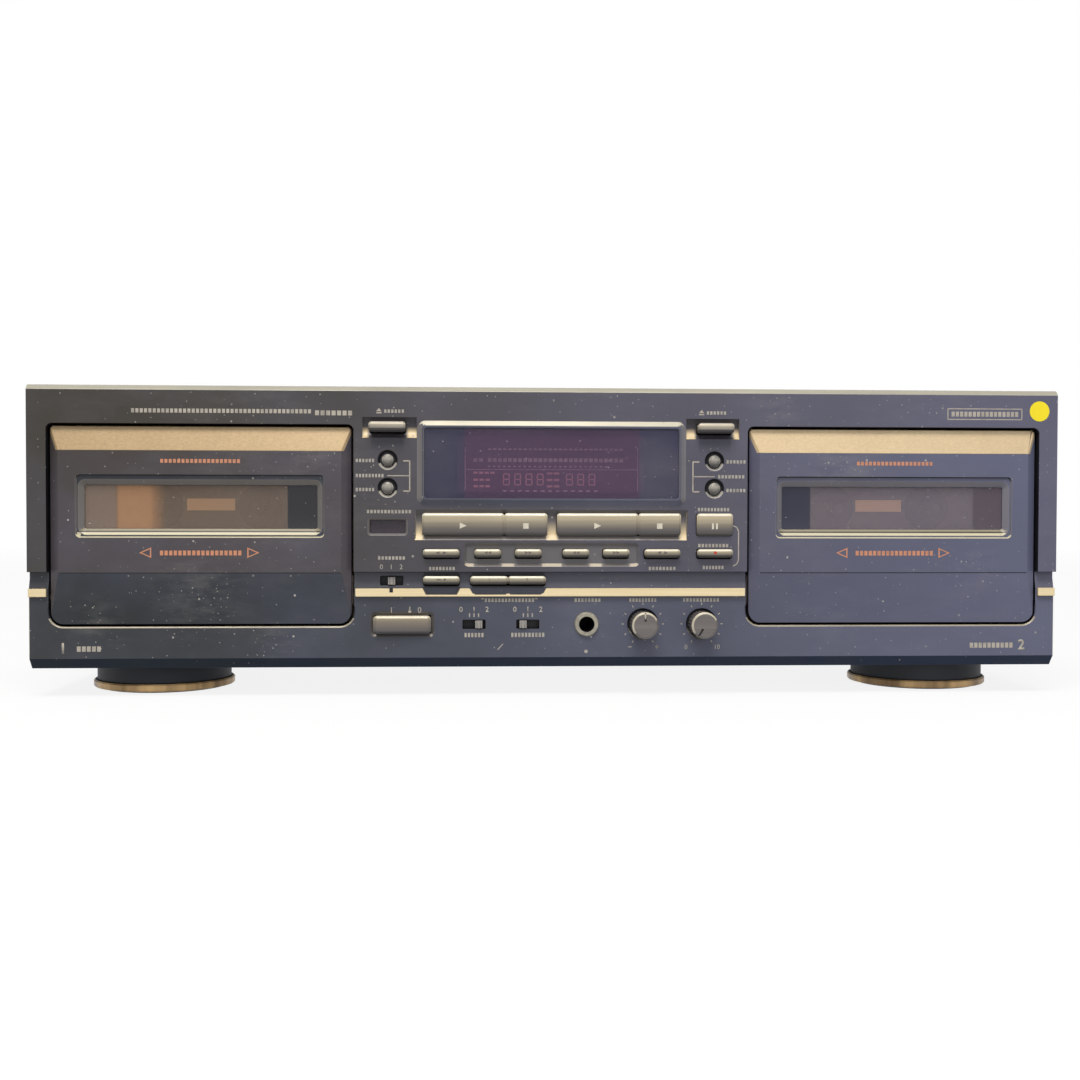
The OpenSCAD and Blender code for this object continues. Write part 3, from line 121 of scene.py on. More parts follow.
def joined(pieces, name):
    # one object at the origin, with its place in its mesh
    take(*pieces)
    if len(pieces) > 1:
        bpy.ops.object.join()
    piece = bpy.context.object
    take(piece)
    bpy.ops.object.transform_apply(location=True, rotation=True, scale=True)
    piece.name = name
    piece.data.name = name
    return piece


# how a copy is cleaned: reach of merging in mm, three angles in degrees, the area of a broad face in
# square mm, and the angle in radians between two of them that leaves a hard line
cleaning = {"reach": 0.002, "flat": 0.6, "sharp": 29, "smooth": 38, "broad": 12, "hard": 0.06}


def crisp(piece):
    # smooth over small steps, with a hard line left between two broad flat faces
    take(piece)
    bpy.ops.object.shade_smooth_by_angle(angle=math.radians(cleaning["smooth"]))
    beside = {}
    for face in piece.data.polygons:
        if face.area > cleaning["broad"] * mm * mm:
            for key in face.edge_keys:
                beside.setdefault(key, []).append(face.normal)
    for edge in piece.data.edges:
        pair = beside.get(edge.key, ())
        if len(pair) == 2 and pair[0].angle(pair[1]) > cleaning["hard"]:
            edge.use_edge_sharp = True
    applied(piece, "WEIGHTED_NORMAL", keep_sharp=True, weight=60)


def rounded(piece, edge, segments, sharpPlace):
    # small round edges, apart from those in sharpPlace, with the flat faces still shaded flat
    editAll(piece, "EDGE")
    bpy.ops.mesh.select_all(action="DESELECT")
    bpy.ops.mesh.edges_select_sharp(sharpness=math.radians(cleaning["sharp"]))
    setMode("OBJECT")
    points = piece.data.vertices
    weights = piece.data.attributes.new("bevel_weight_edge", "FLOAT", "EDGE")
    for side in piece.data.edges:
        a, b = (points[i].co for i in side.vertices)
        weights.data[side.index].value = float(side.select and not (sharpPlace and sharpPlace((a + b) / 2)))
    applied(piece, "BEVEL", width=edge * mm, segments=segments, limit_method="WEIGHT",
            use_clamp_overlap=False, miter_outer="MITER_ARC")
    crisp(piece)


def dressed(node, body, finishes, edge, shape=None, segments=2, sharpPlace=None):
    # a copy of a CAD node, merged, shaped and with its edges rounded, in the node's place
    mesh = cadNodes[node].data.copy()
    mesh.materials.clear()
    piece = bpy.data.objects.new(node + "_skin", mesh)
    bpy.context.scene.collection.objects.link(piece)
    take(piece)
    bpy.ops.mesh.customdata_custom_splitnormals_clear()
    editAll(piece, "VERT")
    bpy.ops.mesh.remove_doubles(threshold=cleaning["reach"] * mm)
    bpy.ops.mesh.mark_sharp(clear=True)
    bpy.ops.mesh.dissolve_limited(angle_limit=math.radians(cleaning["flat"]))
    setMode("OBJECT")
    for look in finishes:
        mesh.materials.append(look)
    if shape:
        shape(piece)
    rounded(piece, edge, segments, sharpPlace)
    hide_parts(node)
    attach(piece, body)
    return piece


def painted(piece, look, wanted):
    # gives the wanted faces another of the piece's finishes
    index = list(piece.data.materials).index(look)
    for face in piece.data.polygons:
        if wanted(face.center, face.normal):
            face.material_index = index


def paintedBy(piece, finishOf):
    # gives each face the finish that its place and direction call for
    finishes = list(piece.data.materials)
    for face in piece.data.polygons:
        face.material_index = finishes.index(finishOf(face.center, face.normal))


# node maths for the finishes
def operator(operation, reflected=False):
    # the method behind one of Python's operators, which adds a Math node
    def method(wire, other):
        pair = [other, wire] if reflected else [wire, other]
        return wire.tree.add("ShaderNodeMath", {"operation": operation}, pair)
    return method


class Wire:
    # a node's output; a | b is the greater of two masks
    def __init__(self, tree, node, output):
        self.tree, self.node, self.socket = tree, node, node.outputs[output]

    def out(self, output):
        return Wire(self.tree, self.node, output)

    def __abs__(self):
        return self.tree.add("ShaderNodeMath", {"operation": "ABSOLUTE"}, [self])

    __add__, __radd__ = operator("ADD"), operator("ADD", True)
    __sub__, __rsub__ = operator("SUBTRACT"), operator("SUBTRACT", True)
    __mul__, __rmul__ = operator("MULTIPLY"), operator("MULTIPLY", True)
    __or__, __gt__, __lt__ = operator("MAXIMUM"), operator("GREATER_THAN"), operator("LESS_THAN")


def toLinear(colour):
    # a colour as a picture shows it, 0 to 255, as the value that a shader takes
    steps = [v / 255 for v in colour]
    return tuple(v / 12.92 if v < 0.04 else ((v + 0.055) / 1.055) ** 2.4 for v in steps) + (1.0,)


def scaled(colour, share):
    return [v * share for v in colour]


class Tree:
    # the nodes of a material or of the world
    def __init__(self, owner):
        owner.use_nodes = True
        self.nodes, self.links = owner.node_tree.nodes, owner.node_tree.links

    def add(self, kind, settings, values, output=0):
        node = self.nodes.new(kind)
        for name, value in settings.items():
            if name == "stops":
                while len(node.color_ramp.elements) < len(value):
                    node.color_ramp.elements.new(1.0)
                for element, (position, shade) in zip(node.color_ramp.elements, value):
                    element.position, element.color = position, toLinear(shade)
            else:
                setattr(node, name, value)
        pairs = values.items() if isinstance(values, dict) else enumerate(values)
        for key, value in pairs:
            self.feed(node.inputs[key], value)
        return Wire(self, node, output)

    def feed(self, socket, value):
        if isinstance(value, Wire):
            self.links.new(value.socket, socket)
        else:
            socket.default_value = value

    def ramp(self, value, low, high, start=0.0, end=1.0):
        # value taken from low..high to start..end, and held there
        return self.add("ShaderNodeMapRange", {"clamp": True},
                        {"Value": value, "From Min": low, "From Max": high, "To Min": start, "To Max": end})


class Finish(Tree):
    def __init__(self, name, **fixed):
        self.material = bpy.data.materials.new(name)
        super().__init__(self.material)
        self.shader = self.nodes["Principled BSDF"]
        self.done(**fixed)
        self.place = self.add("ShaderNodeTexCoord", {}, {}, "Object")
        self.x = self.add("ShaderNodeSeparateXYZ", {}, [self.place])
        self.z = self.x.out("Z")

    def done(self, **values):
        # feeds the shader's sockets and gives the material
        for socket, value in values.items():
            self.feed(self.shader.inputs[socket.replace("_", " ")], value)
        return self.material

    def stretched(self, x, y, z):
        return self.add("ShaderNodeMapping", {}, {"Vector": self.place, "Scale": (x, y, z)})

    def noise(self, scale, detail=3.0, vector=None, roughness=0.55):
        return self.add("ShaderNodeTexNoise", {}, {"Vector": vector or self.place, "Scale": scale,
                                                   "Detail": detail, "Roughness": roughness})

    def mix(self, share, first, second):
        # each colour is a wire, or as a picture shows it
        first, second = (c if isinstance(c, Wire) else toLinear(c) for c in (first, second))
        return self.add("ShaderNodeMix", {"data_type": "RGBA", "clamp_factor": True},
                        {0: share, 6: first, 7: second}, 2)

    def near(self, centre, reach, soft):
        # 1 within reach of an x, fading to 0 over soft, all in mm
        return self.ramp(abs(self.x - centre * mm), reach * mm, (reach + soft) * mm, 1.0, 0.0)

    def rise(self, low, high, start=0.0, end=1.0):
        # from start to end between two heights in the case, in mm
        return self.ramp(self.z, (caseFloor + low) * mm, (caseFloor + high) * mm, start, end)

    def under(self, places):
        # 1 below the buttons at these places, each with its x, half width and soft edge
        mask = 0.0
        for place in places:
            mask = self.near(*place) | mask
        return mask

    def specks(self, scale, size, often, shift, flat=False):
        # round specks in a share of the cells; flat ones are laid out as the front shows them
        if flat:
            spots = [self.x + shift, self.z + 0.7 * shift]
            moved = self.add("ShaderNodeCombineXYZ", {}, spots)
        else:
            spots = {"Vector": self.place, "Location": (shift, 0.7 * shift, 0)}
            moved = self.add("ShaderNodeMapping", {}, spots)
        cells = self.add("ShaderNodeTexVoronoi", {"voronoi_dimensions": "2D" if flat else "3D"},
                         {"Vector": moved, "Scale": scale}, "Distance")
        chance = self.add("ShaderNodeSeparateColor", {}, [cells.out("Color")], "Red")
        radius = self.ramp(chance.out("Green"), 0.0, 1.0, 0.35 * size, size)
        return (cells < radius) * (chance < often) * self.ramp(chance.out("Blue"), 0.0, 1.0, 0.35, 1.0)

    def uneven(self, cloud, rough, more=0.12):
        # roughness from rough to that much more, in patches
        return self.ramp(cloud, 0.3, 0.7, rough, rough + more)

    def bumped(self, height, distance, strength):
        self.done(Normal=self.add("ShaderNodeBump", {}, {"Height": height, "Distance": distance,
                                                         "Strength": strength}))


# finishes: each takes its colours as a picture shows them
# colour of the painted highlight along the foot of the scoops
scoopHighlight = (222, 200, 158)
dustColour = (186, 180, 172)
# where the front is dustiest: x, height above the ground and reach in mm
dustyPlaces = [(-101, 101, 14), (-146, 44, 28), (-116, 23, 13), (95, 118, 17), (125, 92, 24), (178, 58, 18),
               (-188, 30, 16)]


def moulded(name, left, right, sheen=0.34, dusty=1.0, shade=None, gloss=0.4):
    # satin moulded plastic with grain, dust and wiping marks, and a painted light gradient across the width
    # from the left colour to the cooler right one
    look = Finish(name, Specular_IOR_Level=gloss)
    cloud = look.noise(22, 4)
    base = look.mix(look.ramp(look.x, -0.13, 0.2), left, right)
    base = look.mix(look.ramp(cloud, 0.35, 0.75, 0.0, 0.2), base, scaled(right, 1.25))
    if shade:
        base = shade(look, base)
    patches = look.ramp(look.noise(11, 2), 0.45, 0.7, 0.05, 0.3 * dusty)
    for x, height, reach in dustyPlaces:
        distance = look.add("ShaderNodeVectorMath", {"operation": "DISTANCE"},
                            {0: look.place, 1: (x * mm, panelFace * mm, height * mm)}, "Value")
        patches = patches | look.ramp(distance, 0.0, reach * mm, dusty, 0.0)
    wipe = look.noise(90, 6, look.stretched(0.5, 1, 1.4), 0.72)
    smear = look.ramp(wipe, 0.46, 0.72) * patches
    fine = look.specks(330, 0.1, patches * 0.85 + 0.06 * dusty, 3.1, True)
    coarse = look.specks(120, 0.06, patches * 0.45 + 0.04 * dusty, 1.7, True)
    marks = (smear * 0.2) | (fine * 0.6) | (coarse * 0.85)
    base = look.mix(marks, base, dustColour)
    look.bumped(look.noise(3200, 2) + wipe * 2, 0.00002, 0.3)
    return look.done(Base_Color=base, Roughness=look.uneven(cloud, sheen) + marks * 0.3)


def brushed(name, light, deep, metal, wear=0.4, rough=0.34, right=None, stops=None,
            stretch=(0.02, 1, 1), shade=None):
    # sprayed or anodised metal colour, brushed along the width, duller where it is worn
    look = Finish(name)
    brush = look.noise(700, 3, look.stretched(*stretch))
    cloud = look.noise(34, 4)
    main, dark = light, deep
    if right:
        across = look.ramp(look.x, -0.15, 0.15)
        main = look.mix(across, main, right)
        dark = look.mix(across, dark, scaled(right, 0.92))
    # with stops, the colour follows the piece's rise: painted shade towards its foot and a painted highlight
    # near its top
    if stops:
        high = look.add("ShaderNodeAttribute", {"attribute_name": "rise"}, {}, "Fac")
        main = look.add("ShaderNodeValToRGB", {"stops": stops}, [high])
    base = look.mix(look.ramp(brush, 0.25, 0.75, 0.0, 0.5 if stops else 1.0), main, dark)
    base = look.mix(look.ramp(cloud, 0.5, 0.8, 0.0, 0.6 * wear), base, scaled(deep, 0.7))
    pits = look.specks(300, 0.09, 0.3 * wear, 5.3)
    base = look.mix(pits * 0.6, base, scaled(deep, 0.5))
    if shade:
        base = shade(look, base)
    look.bumped(brush, 0.00001, 0.3)
    return look.done(Base_Color=base, Metallic=metal - pits * (0.5 * metal),
                     Roughness=look.uneven(cloud, rough, 0.16))


def steel(name, colour, metal, rough, grainScale=500, stretch=(1, 1, 1)):
    look = Finish(name)
    cloud = look.noise(35, 5)
    fine = look.noise(grainScale, 3, look.stretched(*stretch))
    base = look.mix(look.ramp(fine, 0.3, 0.7), colour, scaled(colour, 0.8))
    base = look.mix(look.ramp(cloud, 0.45, 0.75, 0.0, 0.3), base, scaled(colour, 0.55))
    look.bumped(fine, 0.000015, 0.3)
    return look.done(Base_Color=base, Metallic=look.ramp(cloud, 0.3, 0.8, metal, metal * 0.85),
                     Roughness=look.uneven(cloud, rough, 0.15))


def zincPlate(name, colour):
    # plated sheet with the broad crystals of its coating
    look = Finish(name)
    crystals = look.add("ShaderNodeTexVoronoi", {}, {"Vector": look.place, "Scale": 130}, "Color")
    tone = look.add("ShaderNodeSeparateColor", {}, [crystals], "Red")
    cloud = look.noise(18, 5)
    base = look.mix(tone, colour, scaled(colour, 0.82))
    base = look.mix(look.ramp(cloud, 0.5, 0.75, 0.0, 0.45), base, (122, 120, 112))
    return look.done(Base_Color=base, Metallic=look.ramp(cloud, 0.3, 0.8, 0.85, 0.6),
                     Roughness=look.ramp(tone, 0.0, 1.0, 0.28, 0.44))


def plastic(name, colour, rough, grain=1500, dusty=0.3, depth=0.00002):
    look = Finish(name, Specular_IOR_Level=0.45)
    cloud = look.noise(40, 4)
    paler = [min(255, v * 1.18 + 4) for v in colour]
    base = look.mix(look.ramp(cloud, 0.35, 0.7, 0.0, 0.4), colour, paler)
    base = look.mix(look.specks(260, 0.08, 0.6 * dusty, 2.9) * 0.6, base, dustColour)
    if depth:
        look.bumped(look.noise(grain, 2), depth, 0.5)
    return look.done(Base_Color=base, Roughness=look.uneven(cloud, rough))


def smokedWindow(name, left, right, clear, masks):
    # tinted window, with bands of another tint: x, half width, soft edge, cover and colour
    look = Finish(name, IOR=1.49, Coat_Roughness=0.06)
    smear = look.noise(26, 5, look.stretched(0.7, 1, 1.3))
    base = look.mix(look.ramp(look.x, -0.15, 0.15), left, right)
    base = look.mix(look.ramp(smear, 0.42, 0.75, 0.0, 0.3), base, (158, 150, 146))
    alpha = look.ramp(smear, 0.3, 0.8, clear, clear + 0.1)
    for centre, half, soft, cover, shade in masks:
        band = look.near(centre, half, soft)
        base = look.mix(band, base, shade)
        alpha = alpha | (band * cover)
    marks = look.specks(260, 0.085, look.ramp(smear, 0.45, 0.7, 0.06, 0.42), 4.4, True)
    base = look.mix(marks * 0.6, base, dustColour)
    return look.done(Base_Color=base, Alpha=alpha + marks * 0.4,
                     Roughness=look.ramp(smear, 0.3, 0.8, 0.08, 0.26),
                     Coat_Weight=look.ramp(smear, 0.3, 0.8, 0.8, 0.4))


def printing(name, colour, worn=0.25, glow=0.0):
    # silk-screened ink, thinner in places, with a faint painted glow where it stands for light falling on
    # marks behind a window
    look = Finish(name, Specular_IOR_Level=0.3, Emission_Color=toLinear(colour), Emission_Strength=glow)
    patch = look.noise(260, 4)
    base = look.mix(look.ramp(patch, 0.45, 0.7, 0.0, worn), colour, (96, 92, 92))
    return look.done(Base_Color=base, Roughness=look.uneven(patch, 0.5, 0.2))


def windowRim(look, base):
    # painted highlight on the foot of a window frame: bright at the bottom, a dark line, and dimmer above
    base = look.mix(look.rise(57.5, 57.8), (60, 58, 56), (150, 142, 120))
    return look.mix(look.rise(56.9, 57.2, 1.0, 0.0), base, (206, 198, 168))


def scoopShade(low, bright, dark, x, half, left):
    # a scoop's floor: a painted highlight along its foot, painted shade above it, and painted shadow where
    # buttons hang over it
    def shade(look, base):
        share = look.rise(low + bright, low + dark, 1.0, 0.0)
        for side in (-1, 1):
            share = share * (1.0 - look.near(side * x, half, 1.2) * (1.0 - left))
        deep = look.rise(low + dark, low + dark + 2.5, 0.0, 0.6)
        return look.mix(share, look.mix(deep, base, (40, 38, 46)), scoopHighlight)
    return shade


def windShade(look, base):
    # painted shadow: the ledge is greyed under each of the four wind buttons
    return look.mix(look.under([(x, 5.6, 0.6) for x in (-27, -10, 10, 27)]) * 0.8, base, (100, 98, 104))


def notchShade(look, base):
    # painted shadow: the groove's floor is dark below the relay and dubbing buttons
    return look.mix(look.under([(-46.4, 7.2, 0.8), (-18.4, 14.8, 0.8)]) * 0.85, base, (26, 28, 36))


def columnShade(look, base):
    # painted shadow: the panel is darker below each eject button
    cover = look.under([(-columnX, 6.4, 0.8), (columnX, 6.4, 0.8)])
    below = look.rise(90.5, 95.5) * (look.z < (caseFloor + 96.8) * mm)
    return look.mix(cover * below * 0.5, base, (34, 40, 58))


def stripShade(look, base):
    # painted shadow: dark where the relay and dubbing buttons hang over the strip, narrower lower down
    above = look.z - (caseFloor + 30.9) * mm
    cover = 0.0
    for x in (-46.4, -25.8, -11.0):
        aside = abs(look.x - x * mm) - above * 0.5
        cover = look.ramp(aside, 6.4 * mm, 6.7 * mm, 1.0, 0.0) | cover
    return look.mix(cover * (above > 0.0) * 0.94, base, (38, 40, 50))


frontPlastic = moulded("front_plastic", (61, 57, 51), (90, 90, 110), shade=columnShade)
doorPlastic = moulded("door_plastic", (66, 59, 56), (92, 95, 119), 0.32)
lowerPlastic = moulded("lower_plastic", (50, 53, 57), (93, 96, 118))
groovePlastic = moulded("groove_plastic", (58, 60, 64), (94, 94, 114), shade=notchShade)
# painted shade on the doors' lower slopes, which turn a little away from the light, and on the inner sides of
# their windows
slopeShadePlastic = moulded("slope_plastic_painted_shade", (35, 40, 43), (94, 96, 119))
# painted shade on downturned faces: the panel's bottom bevel and the groove's upper side
bevelShadePlastic = moulded("bevel_plastic_painted_shade", (34, 42, 53), (44, 53, 74), 0.5, 0.4, gloss=0.12)
# painted light: the wind recess is lighter, as its floor faces up a little
recessPaintedLight = moulded("recess_painted_light", (92, 89, 86), (104, 102, 110), 0.4, 0.6)
# near-black plastic with painted shade, for hollows, hole walls and parts behind the panel
wellShadePlastic = plastic("well_plastic_painted_shade", (26, 26, 31), 0.5, depth=0)
# the scoops' floors carry a painted highlight along the foot, and painted shade and shadow above it
ejectScoop = moulded("eject_scoop", (62, 58, 60), (70, 68, 80), 0.3, 0.4,
                     scoopShade(96.7, 2.2, 4.6, columnX, 7.6, 0.0))
playScoop = moulded("play_scoop", (112, 108, 108), (116, 112, 118), 0.3, 0.4,
                    scoopShade(53.9, 2.6, 8.0, 28.2, 25.2, 0.08))
# painted highlight on upturned ledges: the scoops' outer ends and the lip and floor below each door opening
ledgeHighlight = brushed("ledge_painted_highlight", (178, 168, 148), (150, 142, 128), 0.15, 0.8)
# painted highlight on the wind recess's upturned ledge
windLedgeHighlight = moulded("wind_ledge_painted_highlight", (190, 178, 156), (188, 178, 162), 0.3, 0.3, windShade)
# painted highlight on the display frame's upturned top, and the ink of the bias knob's pointer
frameHighlightAndPointer = brushed("frame_highlight_and_pointer_ink", (206, 200, 178), (190, 184, 164), 0.1, 0.5)
# painted highlight on the top chamfer of the panel
topHighlight = brushed("top_painted_highlight", (176, 172, 156), (160, 156, 142), 0.1, 0.5)
# painted highlight on the upturned faces at the foot of each door window
windowFootHighlight = moulded("window_foot_painted_highlight", (200, 192, 164), (196, 190, 166), 0.3, 0.4, windowRim)
# painted light: a mid grey on the sides of frames and recesses, lighter than the shade inside them
rimPaintedLight = moulded("rim_painted_light", (104, 100, 94), (118, 116, 126), 0.3, 0.5)
# painted highlight on the lower, upturned rim of each round well
crescentHighlight = moulded("crescent_painted_highlight", (176, 170, 158), (172, 168, 164), 0.3, 0.3)
barGold = brushed("bar_gold", (190, 164, 126), (170, 146, 110), 0.4, 0.3,
                  right=(221, 197, 158), stretch=(1.2, 2, 2))
stripGold = brushed("strip_gold", (248, 230, 188), (230, 208, 164), 0.35, 0.2, shade=stripShade)
# gold ring round each foot; its bright and dark vertical streaks are painted reflections
ringGoldAndReflections = brushed("ring_gold_painted_reflections", (255, 212, 148), (76, 46, 26), 0.3,
                   rough=0.24, stretch=(0.13, 0.13, 0.01))
# the colour from the foot of a button's cap, 0, to its top, 1: painted shade towards the foot and a painted
# highlight near the top
capLightAndShade = [(0.0, (36, 38, 48)), (0.13, (62, 62, 70)), (0.3, (100, 96, 96)), (0.5, (148, 139, 122)),
            (0.7, (192, 179, 153)), (0.87, (216, 201, 168)), (0.93, (250, 240, 216))]
powerLightAndShade = [(0.0, (42, 44, 54)), (0.1, (90, 88, 92)), (0.4, (118, 110, 105)), (0.75, (150, 139, 122)),
              (0.88, (182, 169, 143)), (0.95, (224, 213, 188))]
flatLightAndShade = [(0.0, (30, 32, 42)), (0.36, (52, 52, 60)), (0.44, (112, 106, 98)), (0.66, (156, 147, 126)),
             (0.84, (196, 186, 160)), (0.93, (236, 228, 206))]
ejectLightAndShade = [(0.0, (26, 28, 38)), (0.36, (44, 45, 55)), (0.44, (136, 130, 121)), (0.7, (194, 184, 166)),
              (0.88, (230, 219, 194)), (0.95, (172, 164, 150))]
domeLightAndShade = [(0.0, (44, 44, 50)), (0.35, (104, 102, 100)), (0.68, (176, 171, 160)), (0.95, (122, 119, 114))]
buttonMetal = brushed("button_metal", (186, 172, 146), (120, 112, 100), 0.15, 0.25, 0.3, stops=capLightAndShade)
powerMetal = brushed("power_metal", (186, 172, 146), (104, 96, 88), 0.15, 0.25, 0.3, stops=powerLightAndShade)
smallMetal = brushed("small_metal", (204, 192, 164), (140, 132, 114), 0.15, 0.25, 0.3, stops=flatLightAndShade)
ejectMetal = brushed("eject_metal", (186, 172, 146), (104, 98, 90), 0.15, 0.25, 0.3, stops=ejectLightAndShade)
domeMetal = brushed("dome_metal", (206, 200, 184), (150, 146, 134), 0.3, 0.2, 0.3, stops=domeLightAndShade)
knobMetal = brushed("knob_metal", (118, 112, 110), (98, 93, 92), 0.15, 0.3)
# painted highlight on the upper left of each knob's rim
knobRimHighlight = brushed("knob_rim_painted_highlight", (214, 206, 182), (188, 180, 160), 0.1, 0.3)
coverSteel = plastic("cover_steel", (40, 41, 44), 0.42, 2600, 0.25, 0.00006)
rearSteel = plastic("rear_steel", (52, 53, 57), 0.5, 2200, 0.1, 0.00004)
zincSteel = zincPlate("zinc_steel", (184, 187, 190))
screwSteel = steel("screw_steel", (74, 74, 78), 0.8, 0.35)
jackMetal = steel("jack_metal", (182, 176, 160), 0.3, 0.34)
socketMetal = steel("socket_metal", (206, 202, 190), 0.9, 0.24)
transportSteel = steel("transport_steel", (128, 108, 94), 0.3, 0.42, 300)
holderSteel = steel("holder_steel", (96, 84, 76), 0.3, 0.42, 300)
bridgeSteel = steel("bridge_steel", (150, 148, 144), 0.8, 0.36, 300)
capstanSteel = steel("capstan_steel", (206, 202, 196), 0.9, 0.2, 700, (1, 0.05, 1))
motorSteel = steel("motor_steel", (168, 168, 172), 0.8, 0.36)
brass = steel("brass", (196, 160, 84), 0.9, 0.3)
beltRubber = plastic("belt_rubber", (20, 20, 21), 0.6, 900, 0.05)
blackPlastic = plastic("black_plastic", (26, 24, 34), 0.5, dusty=0.1, depth=0)
socketPlastic = plastic("socket_plastic", (26, 26, 28), 0.5)
sliderPlastic = plastic("slider_plastic", (146, 142, 138), 0.4, 1800, 0.2)
footPlastic = plastic("foot_plastic", (18, 22, 31), 0.5, 1800, 0.15)
boardGreen = plastic("board_green", (40, 66, 46), 0.4, dusty=0.1, depth=0)
boardTan = plastic("board_tan", (150, 122, 78), 0.5)
canBlue = plastic("can_blue", (30, 38, 66), 0.3)
finSteel = steel("fin_steel", (178, 180, 182), 0.85, 0.35)
windingCopper = steel("winding_copper", (176, 116, 62), 0.7, 0.4, 800, (1, 1, 8))
coreIron = steel("core_iron", (96, 96, 100), 0.6, 0.5, 900, (1, 40, 1))
tubeGlass = plastic("tube_glass", (96, 52, 72), 0.5, dusty=0.1, depth=0)
doorGlass = smokedWindow("door_glass", (142, 122, 104), (150, 140, 154), 0.3, [
    # a painted reflection: the warm patch on the left door's window
    (-174, 7, 6, 0.4, (210, 162, 122)),
    (-doorX - 42.6, 7, 1.5, 0.55, (150, 130, 116)), (-doorX + 42.6, 7, 0.3, 0.9, (38, 36, 43)),
    (doorX - 42.6, 7, 0.3, 0.88, (46, 48, 68)), (doorX + 42.6, 7, 0.3, 0.7, (98, 86, 98))])
frontGlass = smokedWindow("front_glass", (62, 62, 96), (72, 72, 112), 0.36, [
    (0, 36.5, 0.4, 0.0, (98, 76, 108)), (-columnX, 9, 0.4, 0.6, (76, 64, 78))])
creamInk = printing("cream_ink", (182, 174, 162), 0.4)
dimInk = printing("dim_ink", (176, 170, 160), 0.4)
paleInk = printing("pale_ink", (226, 218, 200), 0.15)
stampInk = printing("stamp_ink", (104, 98, 92), 0.3)
darkInk = printing("dark_ink", (36, 36, 42), 0.1)
orangeInk = printing("orange_ink", (206, 142, 110))
# the unlit display's figures glow faintly: painted light
ghostInkPaintedGlow = printing("ghost_ink_painted_glow", (255, 168, 176), 0.3, 0.1)
ghostPale = printing("ghost_pale", (255, 206, 214), 0.3)
redInk = printing("red_ink", (196, 62, 52), 0.1)
# the cassette labels glow faintly, as if lit inside the dark wells: painted light
tanLabelPaintedGlow = printing("tan_label_painted_glow", (252, 190, 134), 0.1, 0.26)
yellowPaper = printing("yellow_paper", (250, 228, 40), 0.05)
print("finishes made:", len(bpy.data.materials))

# the case: slot, finish and width of the round edges in mm of each plain piece, and the middles of the
# wells and slots
casePieces = {
    "trim_strip": ("gold_trim", stripGold, 0.25), "front_windows": ("smoked_window", frontGlass, 0.2),
    "top_cover": ("black_steel", coverSteel, 0.35), "rear_panel": ("rear_steel", rearSteel, 0.2),
    "bottom_pan": ("zinc_steel", zincSteel, 0.2), "case_screws": ("screw_steel", screwSteel, 0.15)}
roundWells = [(s * columnX, z) for s in (-1, 1) for z in (75.8, 87.4)]
knobWells = [(38.9, 18.3), (64.0, 18.3)]
slots = [(-67.3, 36.7), (-32.7, 18.3), (-10.0, 18.3)]


def panelPart(centre, normal):
    # which of the panel's finishes a face takes, by its place and the way it faces: upturned edges and ledges
    # get painted highlights, hollows and downturned faces get painted shade
    x, depth, height = centre.x / mm, depthOf(centre), heightOf(centre)
    side = abs(x)
    if height > 115.3 and within(depth, 0.02, 1.78):
        return topHighlight
    if height < 4.4 and depth > 2.45 and normal.z < -0.1:
        return bevelShadePlastic
    for wells, face, reach in ((roundWells, 0.0, 4.25), (knobWells, lowerFace, 6.7)):
        for wellX, wellZ in wells:
            if fromPoint(centre, wellX, wellZ) < reach and depth > face + 0.05:
                low = height < wellZ - 0.2 and normal.z > 0.3 and depth < face + 1.65
                return crescentHighlight if low else wellShadePlastic
    if side < 57.0 and within(height, 68.2, 104.0) and depth < -0.03:
        if normal.z > 0.35 and height > 102:
            return frameHighlightAndPointer
        return rimPaintedLight if abs(normal.x) > 0.35 or height > 102 else lowerPlastic
    if within(side, 56.6, 79.4) and within(height, 96.5, 105.4) and within(depth, 0.03, 2.15):
        return ledgeHighlight if side > 79.15 else ejectScoop
    if side < 57.45 and within(height, 53.7, 66.9) and within(depth, 0.03, 2.05):
        return ledgeHighlight if side > 57.1 else playScoop
    if side < 37.2 and within(height, 42.4, 53.2) and within(depth, 0.03, 1.4):
        return windLedgeHighlight if normal.z > 0.3 else recessPaintedLight
    if abs(x + columnX) < 9 and abs(height - 59.5) < 4.2 and depth > 0.03:
        return rimPaintedLight
    if within(height, 33.5, 40.6) and within(depth, 0.1, 3.65):
        return bevelShadePlastic if normal.z < -0.3 else groovePlastic
    # painted light in the power button's recess, lighter than the shade that falls in it
    if abs(x + 62.8) < 13.4 and abs(height - 18.3) < 5.2 and within(depth, 2.55, 4.0):
        return rimPaintedLight
    if side > 80 and (within(depth, 1.85, 3.5) and height < 21.0 and abs(normal.y) < 0.96
                      or within(height, 16.5, 20.0) and normal.z > 0.5 and within(depth, 1.8, 9.0)):
        return ledgeHighlight
    if depth > lowerFace + 0.9 or side < 80 and depth > 0.3 and abs(normal.y) < 0.5:
        return wellShadePlastic
    return lowerPlastic if height < 30.2 else frontPlastic


def scoopEdges(point):
    # the thin places beside the scoops, where round edges would run into each other
    x, depth, height = abs(point.x / mm), depthOf(point), heightOf(point)
    if depth > 2.6:
        return False
    return (within(x, 56.2, 79.7) and within(height, 96.2, 105.7)
            or within(x, 56.2, 57.0) and within(height, 60, 104) and depth > -0.1
            or x < 57.8 and (within(height, 66.2, 68.5) or within(height, 53.4, 54.4)))


